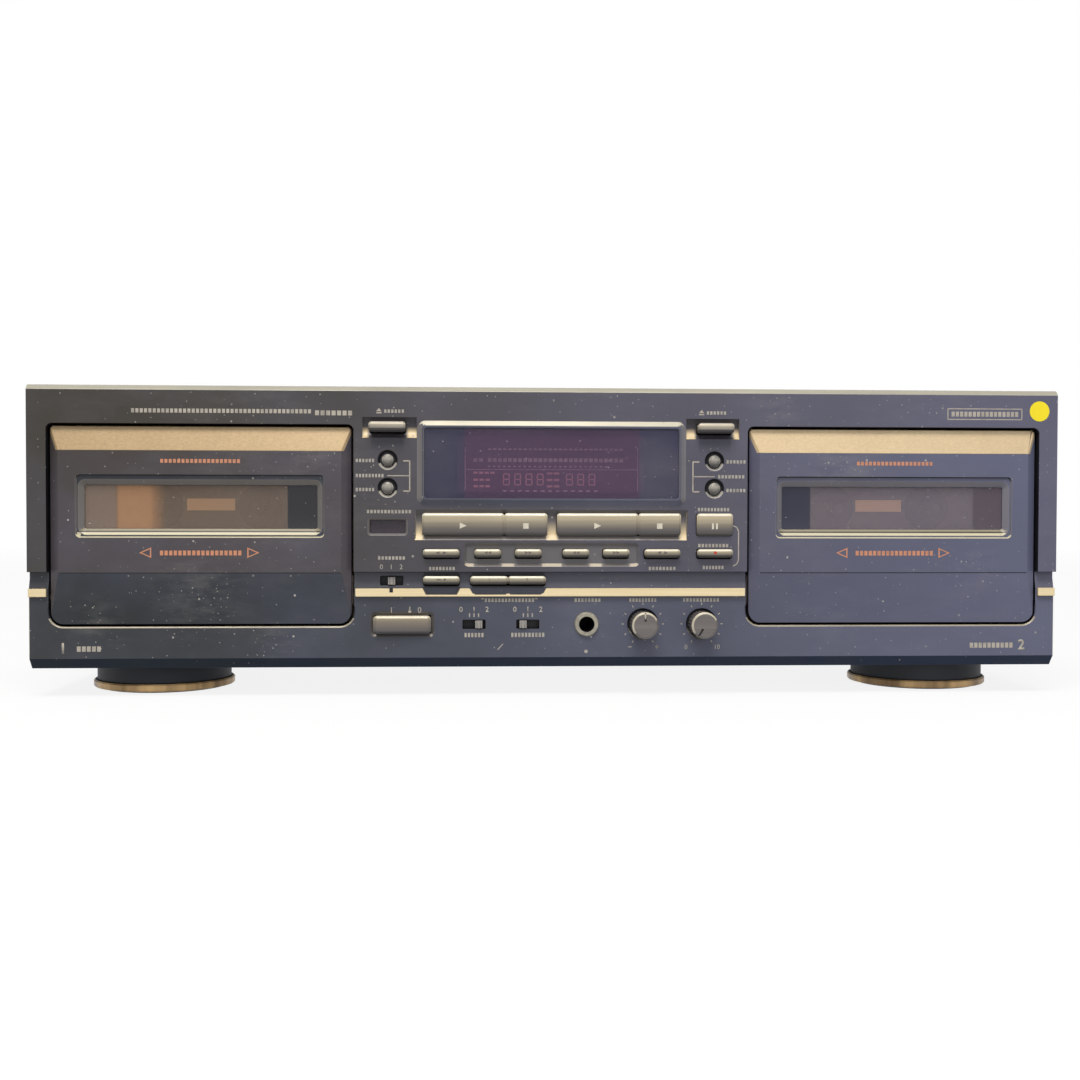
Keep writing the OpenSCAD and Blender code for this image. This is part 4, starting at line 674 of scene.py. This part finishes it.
panelFinishes = [frontPlastic, lowerPlastic, bevelShadePlastic, frameHighlightAndPointer, wellShadePlastic, ejectScoop, playScoop,
                 ledgeHighlight, windLedgeHighlight, rimPaintedLight, recessPaintedLight, crescentHighlight, topHighlight, groovePlastic]
panel = dressed("front_panel", "root", panelFinishes, 0.25, sharpPlace=scoopEdges)
paintedBy(panel, panelPart)
for node, (slot, look, edge) in casePieces.items():
    dressed(node, "root", [look], edge)
jack = dressed("headphone_jack", "root", [jackMetal, wellShadePlastic], 0.2)
painted(jack, wellShadePlastic, lambda c, n: abs(n.y) < 0.5 and fromPoint(c, 14.9, 18.3) < 3.6 or depthOf(c) > 2.6)
sockets = dressed("rear_sockets", "root", [socketMetal, socketPlastic], 0.2)
painted(sockets, socketPlastic, lambda c, n: c.x < 0 and abs(c.x / mm + 177) > 6.2 or c.y / mm < 133.8
        or c.x < 0 and abs(c.z / mm - 52.2) > 2.6)
print("case dressed")

# feet, with the gold ring round each
feet = dressed("feet", "root", [footPlastic, ringGoldAndReflections], 0.25)
footPlaces = [(s * 171, y + panelFace) for s in (-1, 1) for y in (45, 227)]
painted(feet, ringGoldAndReflections, lambda c, n: 0.7 < c.z / mm < 4.2
        and min(math.hypot(c.x / mm - x, c.y / mm - y) for x, y in footPlaces) > 29.2)

# what moves with the doors, and the transport behind them
# half width, side slope and how much wider it is made, foot of the door and how far down it is moved
doorLooks = {"half": 62.0, "band": 2.4, "wider": 1.7, "foot": 19.4, "longer": 0.7}
dressed("transport_plates", "root", [transportSteel], 0.15)
for deck, side in decks:
    body = "door_" + deck
    mid = side * doorX

    def doorPart(centre, normal):
        # which of the door's finishes a face takes, by its place and the way it faces: painted highlight on
        # the window's foot, painted shade on downturned faces, the lower slope and the deep hollows
        depth, height = depthOf(centre), heightOf(centre)
        if abs(centre.x / mm - mid) < 51.2 and within(height, 54.6, 81) and -0.48 < depth < 2.3:
            if height < 59 and (normal.z > 0.3 or height < 56.2):
                return windowFootHighlight
            if normal.z < -0.3:
                return wellShadePlastic if depth < 0.42 else rimPaintedLight
            return rimPaintedLight if abs(normal.x) > 0.3 else slopeShadePlastic
        if height < 40.05 and normal.z < -0.02 and normal.y < -0.5:
            return slopeShadePlastic
        return wellShadePlastic if depth > 2.6 else doorPlastic

    def widerBands(piece):
        # the slopes down both sides of the door made wider
        for way in (-1, 1):
            edge = mid + way * doorLooks["half"]
            shifted(piece, lambda p: abs(p.x / mm - edge) < doorLooks["band"] + 0.05 and depthOf(p) < 2.45
                    and heightOf(p) > 26, bpy.ops.transform.resize, value=(doorLooks["wider"], 1, 1),
                    center_override=onFace(edge, 0, 0))

    def doorShape(piece):
        # wider slopes, and the gap under the door made as thin as the gaps beside it
        widerBands(piece)
        fixed = 25.0
        share = 1 + doorLooks["longer"] / (fixed - doorLooks["foot"])
        shifted(piece, lambda p: heightOf(p) < fixed, bpy.ops.transform.resize, value=(1, 1, share),
                center_override=onFace(mid, 0, fixed))

    doorFinishes = [doorPlastic, slopeShadePlastic, windowFootHighlight, rimPaintedLight, wellShadePlastic]
    paintedBy(dressed(body, body, doorFinishes, 0.25, doorShape), doorPart)
    dressed("door_bar_" + deck, body, [barGold], 0.25, widerBands)
    dressed("door_window_" + deck, body, [doorGlass], 0.2)
    dressed("cassette_holder_" + deck, body, [holderSteel], 0.15)
    bridgeName = "head_bridge_" + deck
    bridge = dressed(bridgeName, bridgeName, [bridgeSteel, beltRubber, capstanSteel], 0.15)
    painted(bridge, capstanSteel, lambda c, n: depthOf(c) < 16.5 and abs(c.x / mm - mid) < 6.4)
    painted(bridge, beltRubber, lambda c, n: 11.1 < depthOf(c) < 17.1
            and within(abs(c.x / mm - mid), 26.8, 39.2))
    for place in ("left", "right"):
        reel, capstan = (place + kind + deck for kind in ("_reel_", "_capstan_"))
        dressed(reel, reel, [blackPlastic], 0.15)
        dressed(capstan, capstan, [capstanSteel], 0.12)
print("doors and transport dressed")

# buttons, switches and knobs
# round edge, and how far the foot of a high button and of a flat one is set back, in mm
buttonLooks = {"edge": 0.3, "tilt": 0.8, "undercut": 1.1}
playZ, playHigh, playFront, flatHigh = 60.5, 8.8, -2.0, 3.6
playRow = {"play_button_a": -37.25, "stop_button_a": -11.05, "play_button_b": 19.15, "stop_button_b": 45.35,
           "record_pause_button": columnX}
windRow = {"direction_button_a": -46.4, "rewind_button_a": -27, "forward_button_a": -10,
           "rewind_button_b": 10, "forward_button_b": 27, "direction_button_b": 46.4,
           "record_mute_button": columnX}
lowRow = {"relay_button": -46.4, "dubbing_normal_button": -26.35, "dubbing_high_button": -10.45}
# each flat button's name, middle and depth of its front
flatButtons = [(name, x, 48.1, -2.0 if name.startswith(("rewind", "forward")) else -3.0)
               for name, x in windRow.items()]
flatButtons += [(name, x, 36.7, -0.5) for name, x in lowRow.items()]


def turnedBelow(piece, x, front, pivot, limit, angle):
    # the points at the front and below a height turned back about a level line
    shifted(piece, lambda p: depthOf(p) < front + 1.0 and heightOf(p) < limit, bpy.ops.transform.rotate,
            value=-angle, orient_axis="X", center_override=onFace(x, front, pivot))


def leaning(z, high, front):
    # a shape step that leans the front of a button back towards its foot
    angle = math.atan(buttonLooks["tilt"] / high)
    return lambda piece: turnedBelow(piece, 0, front, z + high / 2, math.inf, angle)


def undercut(x, z, high, front):
    # a shape step that folds the lower part of a flat button's front back
    def shape(piece):
        folded = 0.42 * high
        fold = z - high / 2 + folded
        editAll(piece, "VERT")
        bpy.ops.mesh.bisect(plane_co=onFace(x, front, fold), plane_no=(0, 0, 1))
        turnedBelow(piece, x, front, fold, fold - 0.02, math.atan(buttonLooks["undercut"] / folded))
    return shape


def button(name, z, high, look, shape=None):
    # a button, with a point value from 0 at the foot of its cap to 1 at its top, from which its finish paints
    # shade and highlight
    piece = dressed(name, name, [look, wellShadePlastic], buttonLooks["edge"], shape, 3)
    rise = piece.data.attributes.new("rise", "FLOAT", "POINT")
    for index, point in enumerate(piece.data.vertices):
        rise.data[index].value = (heightOf(point.co) - z) / high + 0.5
    painted(piece, wellShadePlastic, lambda c, n: depthOf(c) > 3.9)


for name in playRow:
    button(name, playZ, playHigh, buttonMetal, leaning(playZ, playHigh, playFront))
for name, x, z, face in flatButtons:
    button(name, z, flatHigh, smallMetal, undercut(x, z, flatHigh, face))
for deck, side in decks:
    button("eject_button_" + deck, 100.8, 4.2, ejectMetal, undercut(side * columnX, 100.8, 4.2, -4.5))
    button("counter_reset_" + deck, 87.4, 4.3, domeMetal)
    button("counter_memory_" + deck, 75.8, 4.3, domeMetal)
button("power_button", 18.3, 7.1, powerMetal, leaning(18.3, 7.1, -0.5))
for node in ("noise_switch", "timer_switch", "reverse_switch"):
    slider = dressed(node, node, [sliderPlastic, wellShadePlastic], 0.12)
    painted(slider, wellShadePlastic, lambda c, n: depthOf(c) > 5.8)
for (knobX, knobZ), node in zip(knobWells, ("bias_knob", "level_knob")):
    knob = dressed(node, node, [knobMetal, knobRimHighlight, wellShadePlastic], 0.12)
    # painted highlight on the faces of the knob's rim that turn up and to the left
    painted(knob, knobRimHighlight, lambda c, n: depthOf(c) < -5.0 and n.y > -0.93 and n.z - 0.6 * n.x > -0.1
            and fromPoint(c, knobX, knobZ) > 4.5)
    painted(knob, wellShadePlastic, lambda c, n: depthOf(c) > -5.98 and n.y < -0.9
            and fromPoint(c, knobX, knobZ) < 5.2)
print("buttons and knobs dressed")

# inside the case
control = dressed("control_board", "root",
                  [boardGreen, tubeGlass, blackPlastic, motorSteel], 0.12)


def controlPart(centre, normal):
    x, depth, height = centre.x / mm, depthOf(centre), heightOf(centre)
    if depth > 15.57:
        return boardGreen
    if abs(x) < 40.2 and abs(height - 86.1) < 12.2:
        return tubeGlass if depth < 13.6 else blackPlastic
    for places, wide, high in ((knobWells, 6.2, 6.2), (slots, 5.7, 2.7)):
        if any(abs(x - px) < wide and abs(height - pz) < high for px, pz in places):
            return motorSteel
    return blackPlastic


paintedBy(control, controlPart)
mainBoard = dressed("main_board", "root", [boardTan, canBlue, blackPlastic, finSteel], 0.15)
boardLow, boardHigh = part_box("main_board")


def mainPart(centre, normal):
    across = (centre.x - boardLow[0]) / (boardHigh[0] - boardLow[0])
    back = (centre.y - boardLow[1]) / (boardHigh[1] - boardLow[1])
    if centre.z / mm < caseFloor + 9.84:
        return boardTan
    if within(back, 0.35, 0.52):
        return blackPlastic
    return finSteel if back > 0.6 and across < 0.58 or normal.z > 0.9 else canBlue


paintedBy(mainBoard, mainPart)
coil = dressed("transformer", "root", [coreIron, windingCopper], 0.3)
painted(coil, windingCopper, lambda c, n: abs(depthOf(c) - 172) > 24.2)
drives = dressed("motor_drives", "root", [motorSteel, beltRubber, brass], 0.2)
painted(drives, beltRubber, lambda c, n: abs(depthOf(c) - 28.4) < 0.1 or abs(n.y) > 0.9
        and min(abs(depthOf(c) - 26.4), abs(depthOf(c) - 30.4)) < 0.06)
painted(drives, brass, lambda c, n: within(depthOf(c), 25.3, 31.5)
        and min(fromPoint(c, s * doorX + 50, 70.8) for s in (-1, 1)) < 5.7)
print("inside dressed")

# printing: flat marks in mm, laid at the panel's face, with heights from the ground
inkProud = 0.03   # how far printing stands on its face, in mm


def laid(x, z, wide, high, turn=0.0, lean=0.0, shift=0.0):
    # the new flat shape stood up facing the front, turned clockwise and leaned back at its foot
    piece = bpy.context.object
    place = Matrix.Translation(onFace(x, 0, z - caseFloor))
    turned = Matrix.Rotation(math.radians(lean), 4, "X") @ Matrix.Rotation(math.radians(turn), 4, "Y")
    size = Matrix.Diagonal((wide * mm, high * mm, 1, 1))
    moved = Matrix.Translation((0, shift, 0))
    piece.matrix_world = place @ turned @ Matrix.Rotation(math.pi / 2, 4, "X") @ size @ moved
    return piece


def bar(x, z, wide, high, **turns):
    bpy.ops.mesh.primitive_plane_add(size=1)
    return laid(x, z, wide, high, **turns)


def cutFlat(corners, radius, line=0.0):
    # a flat shape with equal corners, or with a line just its outline
    bpy.ops.mesh.primitive_circle_add(vertices=corners, radius=radius, fill_type="NGON")
    if line:
        editAll(bpy.context.object)
        bpy.ops.mesh.inset(thickness=line)
        bpy.ops.mesh.delete(type="FACE")
        setMode("OBJECT")


def arrow(x, z, wide, long, turn, line=0.0, **turns):
    # a triangle of radius 1 is 1.732 wide and 1.5 long
    cutFlat(3, 1, line)
    return laid(x, z, wide / 1.732, long / 1.5, turn, shift=-0.25, **turns)


def disc(x, z, across, line=0.0):
    cutFlat(32 if line else 24, 0.5, line / across)
    return laid(x, z, across, across)


def figure(text, x, z, high, heavy=0.0):
    # type is 1.42 times the size of its figures
    bpy.ops.object.text_add()
    words = bpy.context.object
    words.data.body = text
    words.data.align_x, words.data.align_y = "CENTER", "CENTER"
    words.data.resolution_u = 3
    words.data.offset = heavy
    bpy.ops.object.convert(target="MESH")
    return laid(x, z, high * 1.42, high * 1.42)


def dashes(low, high, z, tall=1.4, long=0.9, gap=0.5):
    # a row of short bars where small words would be
    count = max(1, round((high - low + gap) / (long + gap)))
    step = (high - low + gap) / count
    return [bar(low + (step - gap) / 2 + i * step, z, step - gap, tall) for i in range(count)]


def box(low, high, bottom, top, line):
    midX, midZ = (low + high) / 2, (bottom + top) / 2
    level = [bar(midX, z, high - low + line, line) for z in (top, bottom)]
    return level + [bar(x, midZ, line, top - bottom) for x in (low, high)]


def printed(name, ink, marks, depth=0.0, thick=0.06, body="root"):
    # the marks as one thin solid on the face at that depth
    piece = joined(marks, name)
    piece.data.materials.clear()
    piece.data.materials.append(ink)
    editAll(piece)
    bpy.ops.transform.translate(value=(0, (depth - inkProud) * mm, 0))
    bpy.ops.mesh.extrude_region_move(TRANSFORM_OT_translate={"value": (0, thick * mm, 0)})
    bpy.ops.mesh.select_all(action="SELECT")
    bpy.ops.mesh.normals_make_consistent(inside=False)
    setMode("OBJECT")
    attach(piece, body)


marks, dimMarks = [], []
for s in (-1, 1):
    # the eject labels, and brackets between the two round buttons and their labels
    start, line = -72.4 if s < 0 else 63.2, s * 59.6
    marks += [arrow(start, 120.5, 2.2, 1.3, 0), bar(start, 119.2, 2.2, 0.5)]
    dimMarks += dashes(start + 2.2, start + 10.4, 119.9)
    marks += [bar(line, 92.9, 0.5, 12.8), bar(line + s * 4.6, 93.0, 9.4, 0.4)]
    marks += [bar(line + s * 1.3, z, 2.8, 0.5) for z in (99.2, 86.6)]
marks += dashes(-174.2, -100.5, 119.6, 1.7, 1.2, 0.55) + dashes(-98.8, -83.5, 119.0, 2.0, 1.6, 0.6)
marks += box(169, 201.2, 117.8, 122.3, 0.4) + dashes(170.6, 199.6, 120.05, 2.1, 1.3, 0.5)
for span in ((-82, -74.4, 99.3), (-82, -74.4, 87.2), (73.9, 82, 99.3), (73.9, 82, 87.2), (-82, -70.5, 93.0),
             (70.3, 81.5, 93.0), (-77.4, -59.1, 78.0), (61.8, 75.1, 79.1), (62, 74.8, 63.9), (64, 72.8, 54.6),
             (-51.5, -40.8, 54.2), (41, 52.3, 54.2), (-72.8, -61.6, 58.6)):
    dimMarks += dashes(*span)
curve = [(76.8, 72.4), (78.4, 71.6), (79.2, 70.0), (79.2, 57.6), (78.4, 56.0), (76.9, 55.2)]
for (x1, z1), (x2, z2) in zip(curve, curve[1:]):
    turn = math.degrees(math.atan2(x2 - x1, z2 - z1))
    marks.append(bar((x1 + x2) / 2, (z1 + z2) / 2, 0.45, math.dist((x1, z1), (x2, z2)) + 0.15, turn=turn))
dimMarks += [figure(str(i), -71.4 + 4.1 * i, 54.8, 2.0) for i in range(3)]
printed("front_printing", creamInk, marks)
printed("small_printing", dimInk, dimMarks)

marks = [figure("1", -203.2, 20.7, 4.2, 0.03), figure("2", 203.0, 21.0, 4.2, 0.03)]
marks += dashes(-197.5, -187.7, 20.6, 2.2, 1.4, 0.5) + dashes(180.4, 199.2, 21.0, 2.2, 1.4, 0.5)
marks += [figure("1", -67.4, 36.5, 2.4), figure("0", -55.6, 36.5, 2.4), bar(-59.7, 37.2, 0.5, 1.6)]
marks += [disc(*spot) for spot in ((-59.7, 36.0, 1.3), (-74.3, 26.0, 1.2), (-50.7, 25.9, 1.2))]
printed("low_printing", creamInk, marks, lowerFace)
dimMarks = [bar(x, 41.3, 1.2, 0.4) for x in (-29.1, -6.5)] + [disc(14.7, 18.9, 1.5)]
for span in ((-28.2, -7.4), (9.8, 20.8), (33.1, 44.6), (56, 71.4)):
    dimMarks += dashes(*span, 40.7, 1.5)
for slotX, reach in ((slots[1][0], 4.0), (slots[2][0], 7.0)):
    dimMarks += [figure(str(i), slotX - 5.5 + 5.5 * i, 36.7, 2.2, 0.02) for i in range(3)]
    dimMarks += [bar(slotX - 1.9 + 1.9 * i, 34.4, 0.5, 1.6) for i in range(3)]
    dimMarks += dashes(slotX - reach, slotX + reach, 26.0, 1.8)
for knobX, knobZ in knobWells:
    for turn in range(-150, 151, 30):
        aside, up = 8.6 * math.sin(math.radians(turn)), 8.6 * math.cos(math.radians(turn))
        dimMarks.append(bar(knobX + aside, knobZ + caseFloor + up, 0.45, 0.9, turn=turn))
dimMarks += [bar(33.4, 20.8, 1.4, 0.45), bar(44.9, 20.8, 1.4, 0.45), bar(44.9, 20.8, 0.45, 1.4),
             figure("0", 57.4, 20.6, 1.9), figure("10", 70.6, 20.6, 1.9)]
printed("low_small_printing", dimInk, dimMarks, lowerFace)
printed("scratch", dimInk, [bar(-21.6, 21.0, 0.4, 3.4, turn=42)], lowerFace)
printed("strip_mark", darkInk, [bar(-67.4, 45.1, 1.5, 2.0)], 1.1)
printed("sticker", yellowPaper, [disc(208.9, 121.4, 8.6)], -0.05, 0.1)
pointer = arrow(38.9, 34.2, 1.5, 2.6, 180)
printed("bias_pointer", frameHighlightAndPointer, [pointer], -6.0, 0.1, "bias_knob")
pointer = bar(61.9, 28.4, 0.5, 2.2, turn=45)
printed("level_pointer", darkInk, [pointer], -6.0, 0.1, "level_knob")
print("front printed")

# what is printed on the doors, and the labels seen through their windows
for deck, side in decks:
    mid, body = side * doorX, "door_" + deck
    marks = dashes(mid - 16.3, mid + 16.3, 98.8, 1.6, 1.2, 0.55)
    marks += dashes(mid - 16.6, mid + 16.8, 60.7, 2.0, 1.3, 0.55)
    marks += [arrow(mid + aside, 60.8, 4.4, 5.0, turn, 0.17) for aside, turn in ((-22.6, -90), (21.7, 90))]
    printed("door_printing_" + deck, orangeInk, marks, doorFace, body=body)
    # painted shade: a thin dark line along each door's crease
    crease = bar(mid, caseFloor + 40.2, 115.4, 0.35)
    printed("door_crease_painted_shade_" + deck, darkInk, [crease], doorFace, body=body)
    # the labels behind the windows glow faintly: painted light
    printed("cassette_label_" + deck, tanLabelPaintedGlow, [bar(mid, 80.9, 20.5, 5.1)], 21.96, 0.1)
print("doors printed")


# symbols on the buttons
def symbolMarks(name, x, z, lean=0.0):
    kind = name.split("_button")[0]
    if kind == "play":
        return [arrow(x, z, 2.6, 2.9, 90, lean=lean)]
    if kind == "stop":
        return [bar(x, z, 2.3, 2.3, lean=lean)]
    if kind == "record_pause":
        return [bar(x + s * 0.85, z, 0.8, 2.5, lean=lean) for s in (-1, 1)]
    if kind in ("rewind", "forward"):
        return [arrow(x + s * 0.75, z, 1.3, 1.3, -90 if kind == "rewind" else 90) for s in (-1, 1)]
    if kind == "direction":
        return [arrow(x + s * 1.5, z, 1.3, 1.6, s * 90) for s in (-1, 1)]
    if kind.startswith("dubbing"):
        return [figure("1" if kind == "dubbing_normal" else "2", x, z, 1.4)]
    if kind == "relay":
        return [bar(x - 1.0, z, 2.0, 0.5), disc(x + 1.4, z, 1.0)]
    return [disc(x, z, 1.3)]


for name, x in playRow.items():
    z = playZ - (0.5 if name.startswith("play") else 0.6)
    slope = buttonLooks["tilt"] / playHigh
    marks = symbolMarks(name, x, z + caseFloor, math.degrees(math.atan(slope)))
    printed(name + "_mark", paleInk, marks, playFront + (playZ + playHigh / 2 - z) * slope, 0.1, name)
for name, x, z, face in flatButtons:
    ink = redInk if name == "record_mute_button" else stampInk
    printed(name + "_mark", ink, symbolMarks(name, x, z + caseFloor + 0.62), face, 0.1, name)
print("buttons marked")

# the dark segments of the unlit display, with a faint painted glow on the figures
tubeFace = 8.0


def digitMarks(x, z, wide, high):
    # the seven segments of one figure
    line = 0.45
    level = [bar(x, z + s * high / 2, wide, line) for s in (1, 0, -1)]
    return level + [bar(x + sx * wide / 2, z + sz * high / 4, line, high / 2 - line)
                    for sx in (-1, 1) for sz in (-1, 1)]


marks = []
for x in [-19 + i * 4.8 for i in range(4)] + [7.9 + i * 4.8 for i in range(3)]:
    marks += digitMarks(x, 91.8, 2.5, 4.6)
for low, high, z in ((-33, -24, 94.6), (-33, -26, 91.6), (-33, -26, 88.9)):
    marks += dashes(low, high, z, 0.9, 1.8, 0.6)
for z in (94.4, 91.6, 88.9):
    marks += dashes(-1.8, 3.6, z, 0.9, 2.0, 0.5)
printed("display_figures", ghostInkPaintedGlow, marks, tubeFace)
marks = dashes(-26.9, 30.8, 100.0, 1.6, 1.6, 0.55) + dashes(-26.9, 30.8, 104.6, 0.7, 1.6, 0.55)
marks += dashes(-33, -29, 100.0, 1.4, 1.6, 0.6) + dashes(-26.9, 24, 97.3, 0.6, 1.0, 1.2)
marks += dashes(-20.6, 20, 86.9, 0.6, 1.6, 1.6) + [bar(0.3, 96.0, 73, 0.25)]
marks += [bar(x, 96.2, 0.3, 18.4) for x in (-36.5, 37.1)]
printed("display_bars", ghostPale, marks, tubeFace)
print("display marked")

# rings of colour round the line jacks, and plain marks on the rear panel
backFace = 272.0
rearDepth = backFace + 2 * panelFace + 2 * inkProud   # moves turned marks from y 137 to the rear panel


def turnedBack(piece):
    # a mark made for the front, turned to face the rear about the case's middle line
    piece.matrix_world = Matrix.Rotation(math.pi, 4, "Z") @ piece.matrix_world
    return piece


jacks = [(x, z, ink) for x in (150, 164) for z, ink in ((63, redInk), (77, creamInk))]
for number, (x, z, ink) in enumerate(jacks):
    mark = turnedBack(disc(-x, z + caseFloor, 11.8, 0.9))
    printed("jack_ring_%d" % number, ink, [mark], rearDepth)
marks = [turnedBack(figure(str(i + 1), -x, caseFloor + 84.5, 2.6)) for i, x in enumerate((150, 164))]
printed("rear_printing", creamInk, marks, rearDepth)
print("rear printed")

# floor, camera and light
studio = {"floorSize": 14.0, "ambient": 0.42, "keyPower": 24.0, "fillPower": 12.0, "shadowShare": 0.15,
          "floor": 0.42, "floorSeen": 0.95}


def backdropFinish():
    # paper that shows white to the camera, with a share of the object's shadow near it
    look = Finish("floor_paper", Roughness=0.9)
    path = look.add("ShaderNodeLightPath", {}, {}, "Is Camera Ray")
    seen = path | path.out("Is Glossy Ray")
    glow = look.add("ShaderNodeEmission", {}, {"Color": (1, 1, 1, 1), "Strength": 1.0})
    look.done(Base_Color=look.ramp(seen, 0.0, 1.0, studio["floor"], studio["floorSeen"]))
    away = look.add("ShaderNodeVectorMath", {"operation": "LENGTH"}, [look.place], "Value")
    share = seen * look.ramp(away, 0.5, 2.4, 1 - studio["shadowShare"], 1.0)
    both = look.add("ShaderNodeMixShader", {}, [share, Wire(look, look.shader, 0), glow])
    look.feed(look.nodes["Material Output"].inputs["Surface"], both)
    return look.material


clearSelection()
bpy.ops.mesh.primitive_plane_add(size=studio["floorSize"], location=(0, 0, 0))
floor = joined([bpy.context.object], "floor")
floor.data.materials.append(backdropFinish())

world = bpy.data.worlds.new("studio")
bpy.context.scene.world = world
sky = Tree(world)
path = sky.add("ShaderNodeLightPath", {}, {}, "Is Camera Ray")
background = sky.nodes["Background"].inputs
background["Color"].default_value = (1, 1, 1, 1)
level = sky.ramp(path | path.out("Is Transmission Ray"), 0.0, 1.0, studio["ambient"], 1.0)
sky.feed(background["Strength"], level)


def softbox(name, place, target, width, height, power, tint):
    bpy.ops.object.light_add(type="AREA", location=place)
    lamp = bpy.context.object
    lamp.name = name
    lamp.data.shape = "RECTANGLE"
    lamp.data.size, lamp.data.size_y = width, height
    lamp.data.energy = power
    lamp.data.color = tint
    lamp.rotation_euler = (Vector(target) - Vector(place)).to_track_quat("-Z", "Y").to_euler()


clearSelection()
softbox("key_overhead", (-0.15, -0.95, 1.55), (0, 0, 0.05), 1.0, 0.6, studio["keyPower"], (1.0, 0.965, 0.92))
softbox("fill_front", (0.35, -2.6, 1.0), (0, 0, 0.06), 2.2, 1.4, studio["fillPower"], (0.95, 0.97, 1.0))

cameraView = {"place": (-0.0335, -0.687, 0.0785), "lens": 43.678, "turn": 2.9626, "tilt": 1.281,
              "roll": 0.1155}
bpy.ops.object.camera_add(location=cameraView["place"])
camera = bpy.context.object
camera.data.lens = cameraView["lens"]
camera.data.sensor_width = 36
aim = Euler((math.radians(90 - cameraView["tilt"]), 0, -math.radians(cameraView["turn"]))).to_matrix()
camera.rotation_euler = (aim @ Matrix.Rotation(math.radians(cameraView["roll"]), 3, "Z")).to_euler()
camera.data.clip_start = 0.02
bpy.context.scene.camera = camera
bpy.context.scene.view_settings.view_transform = "Standard"
print("studio set")
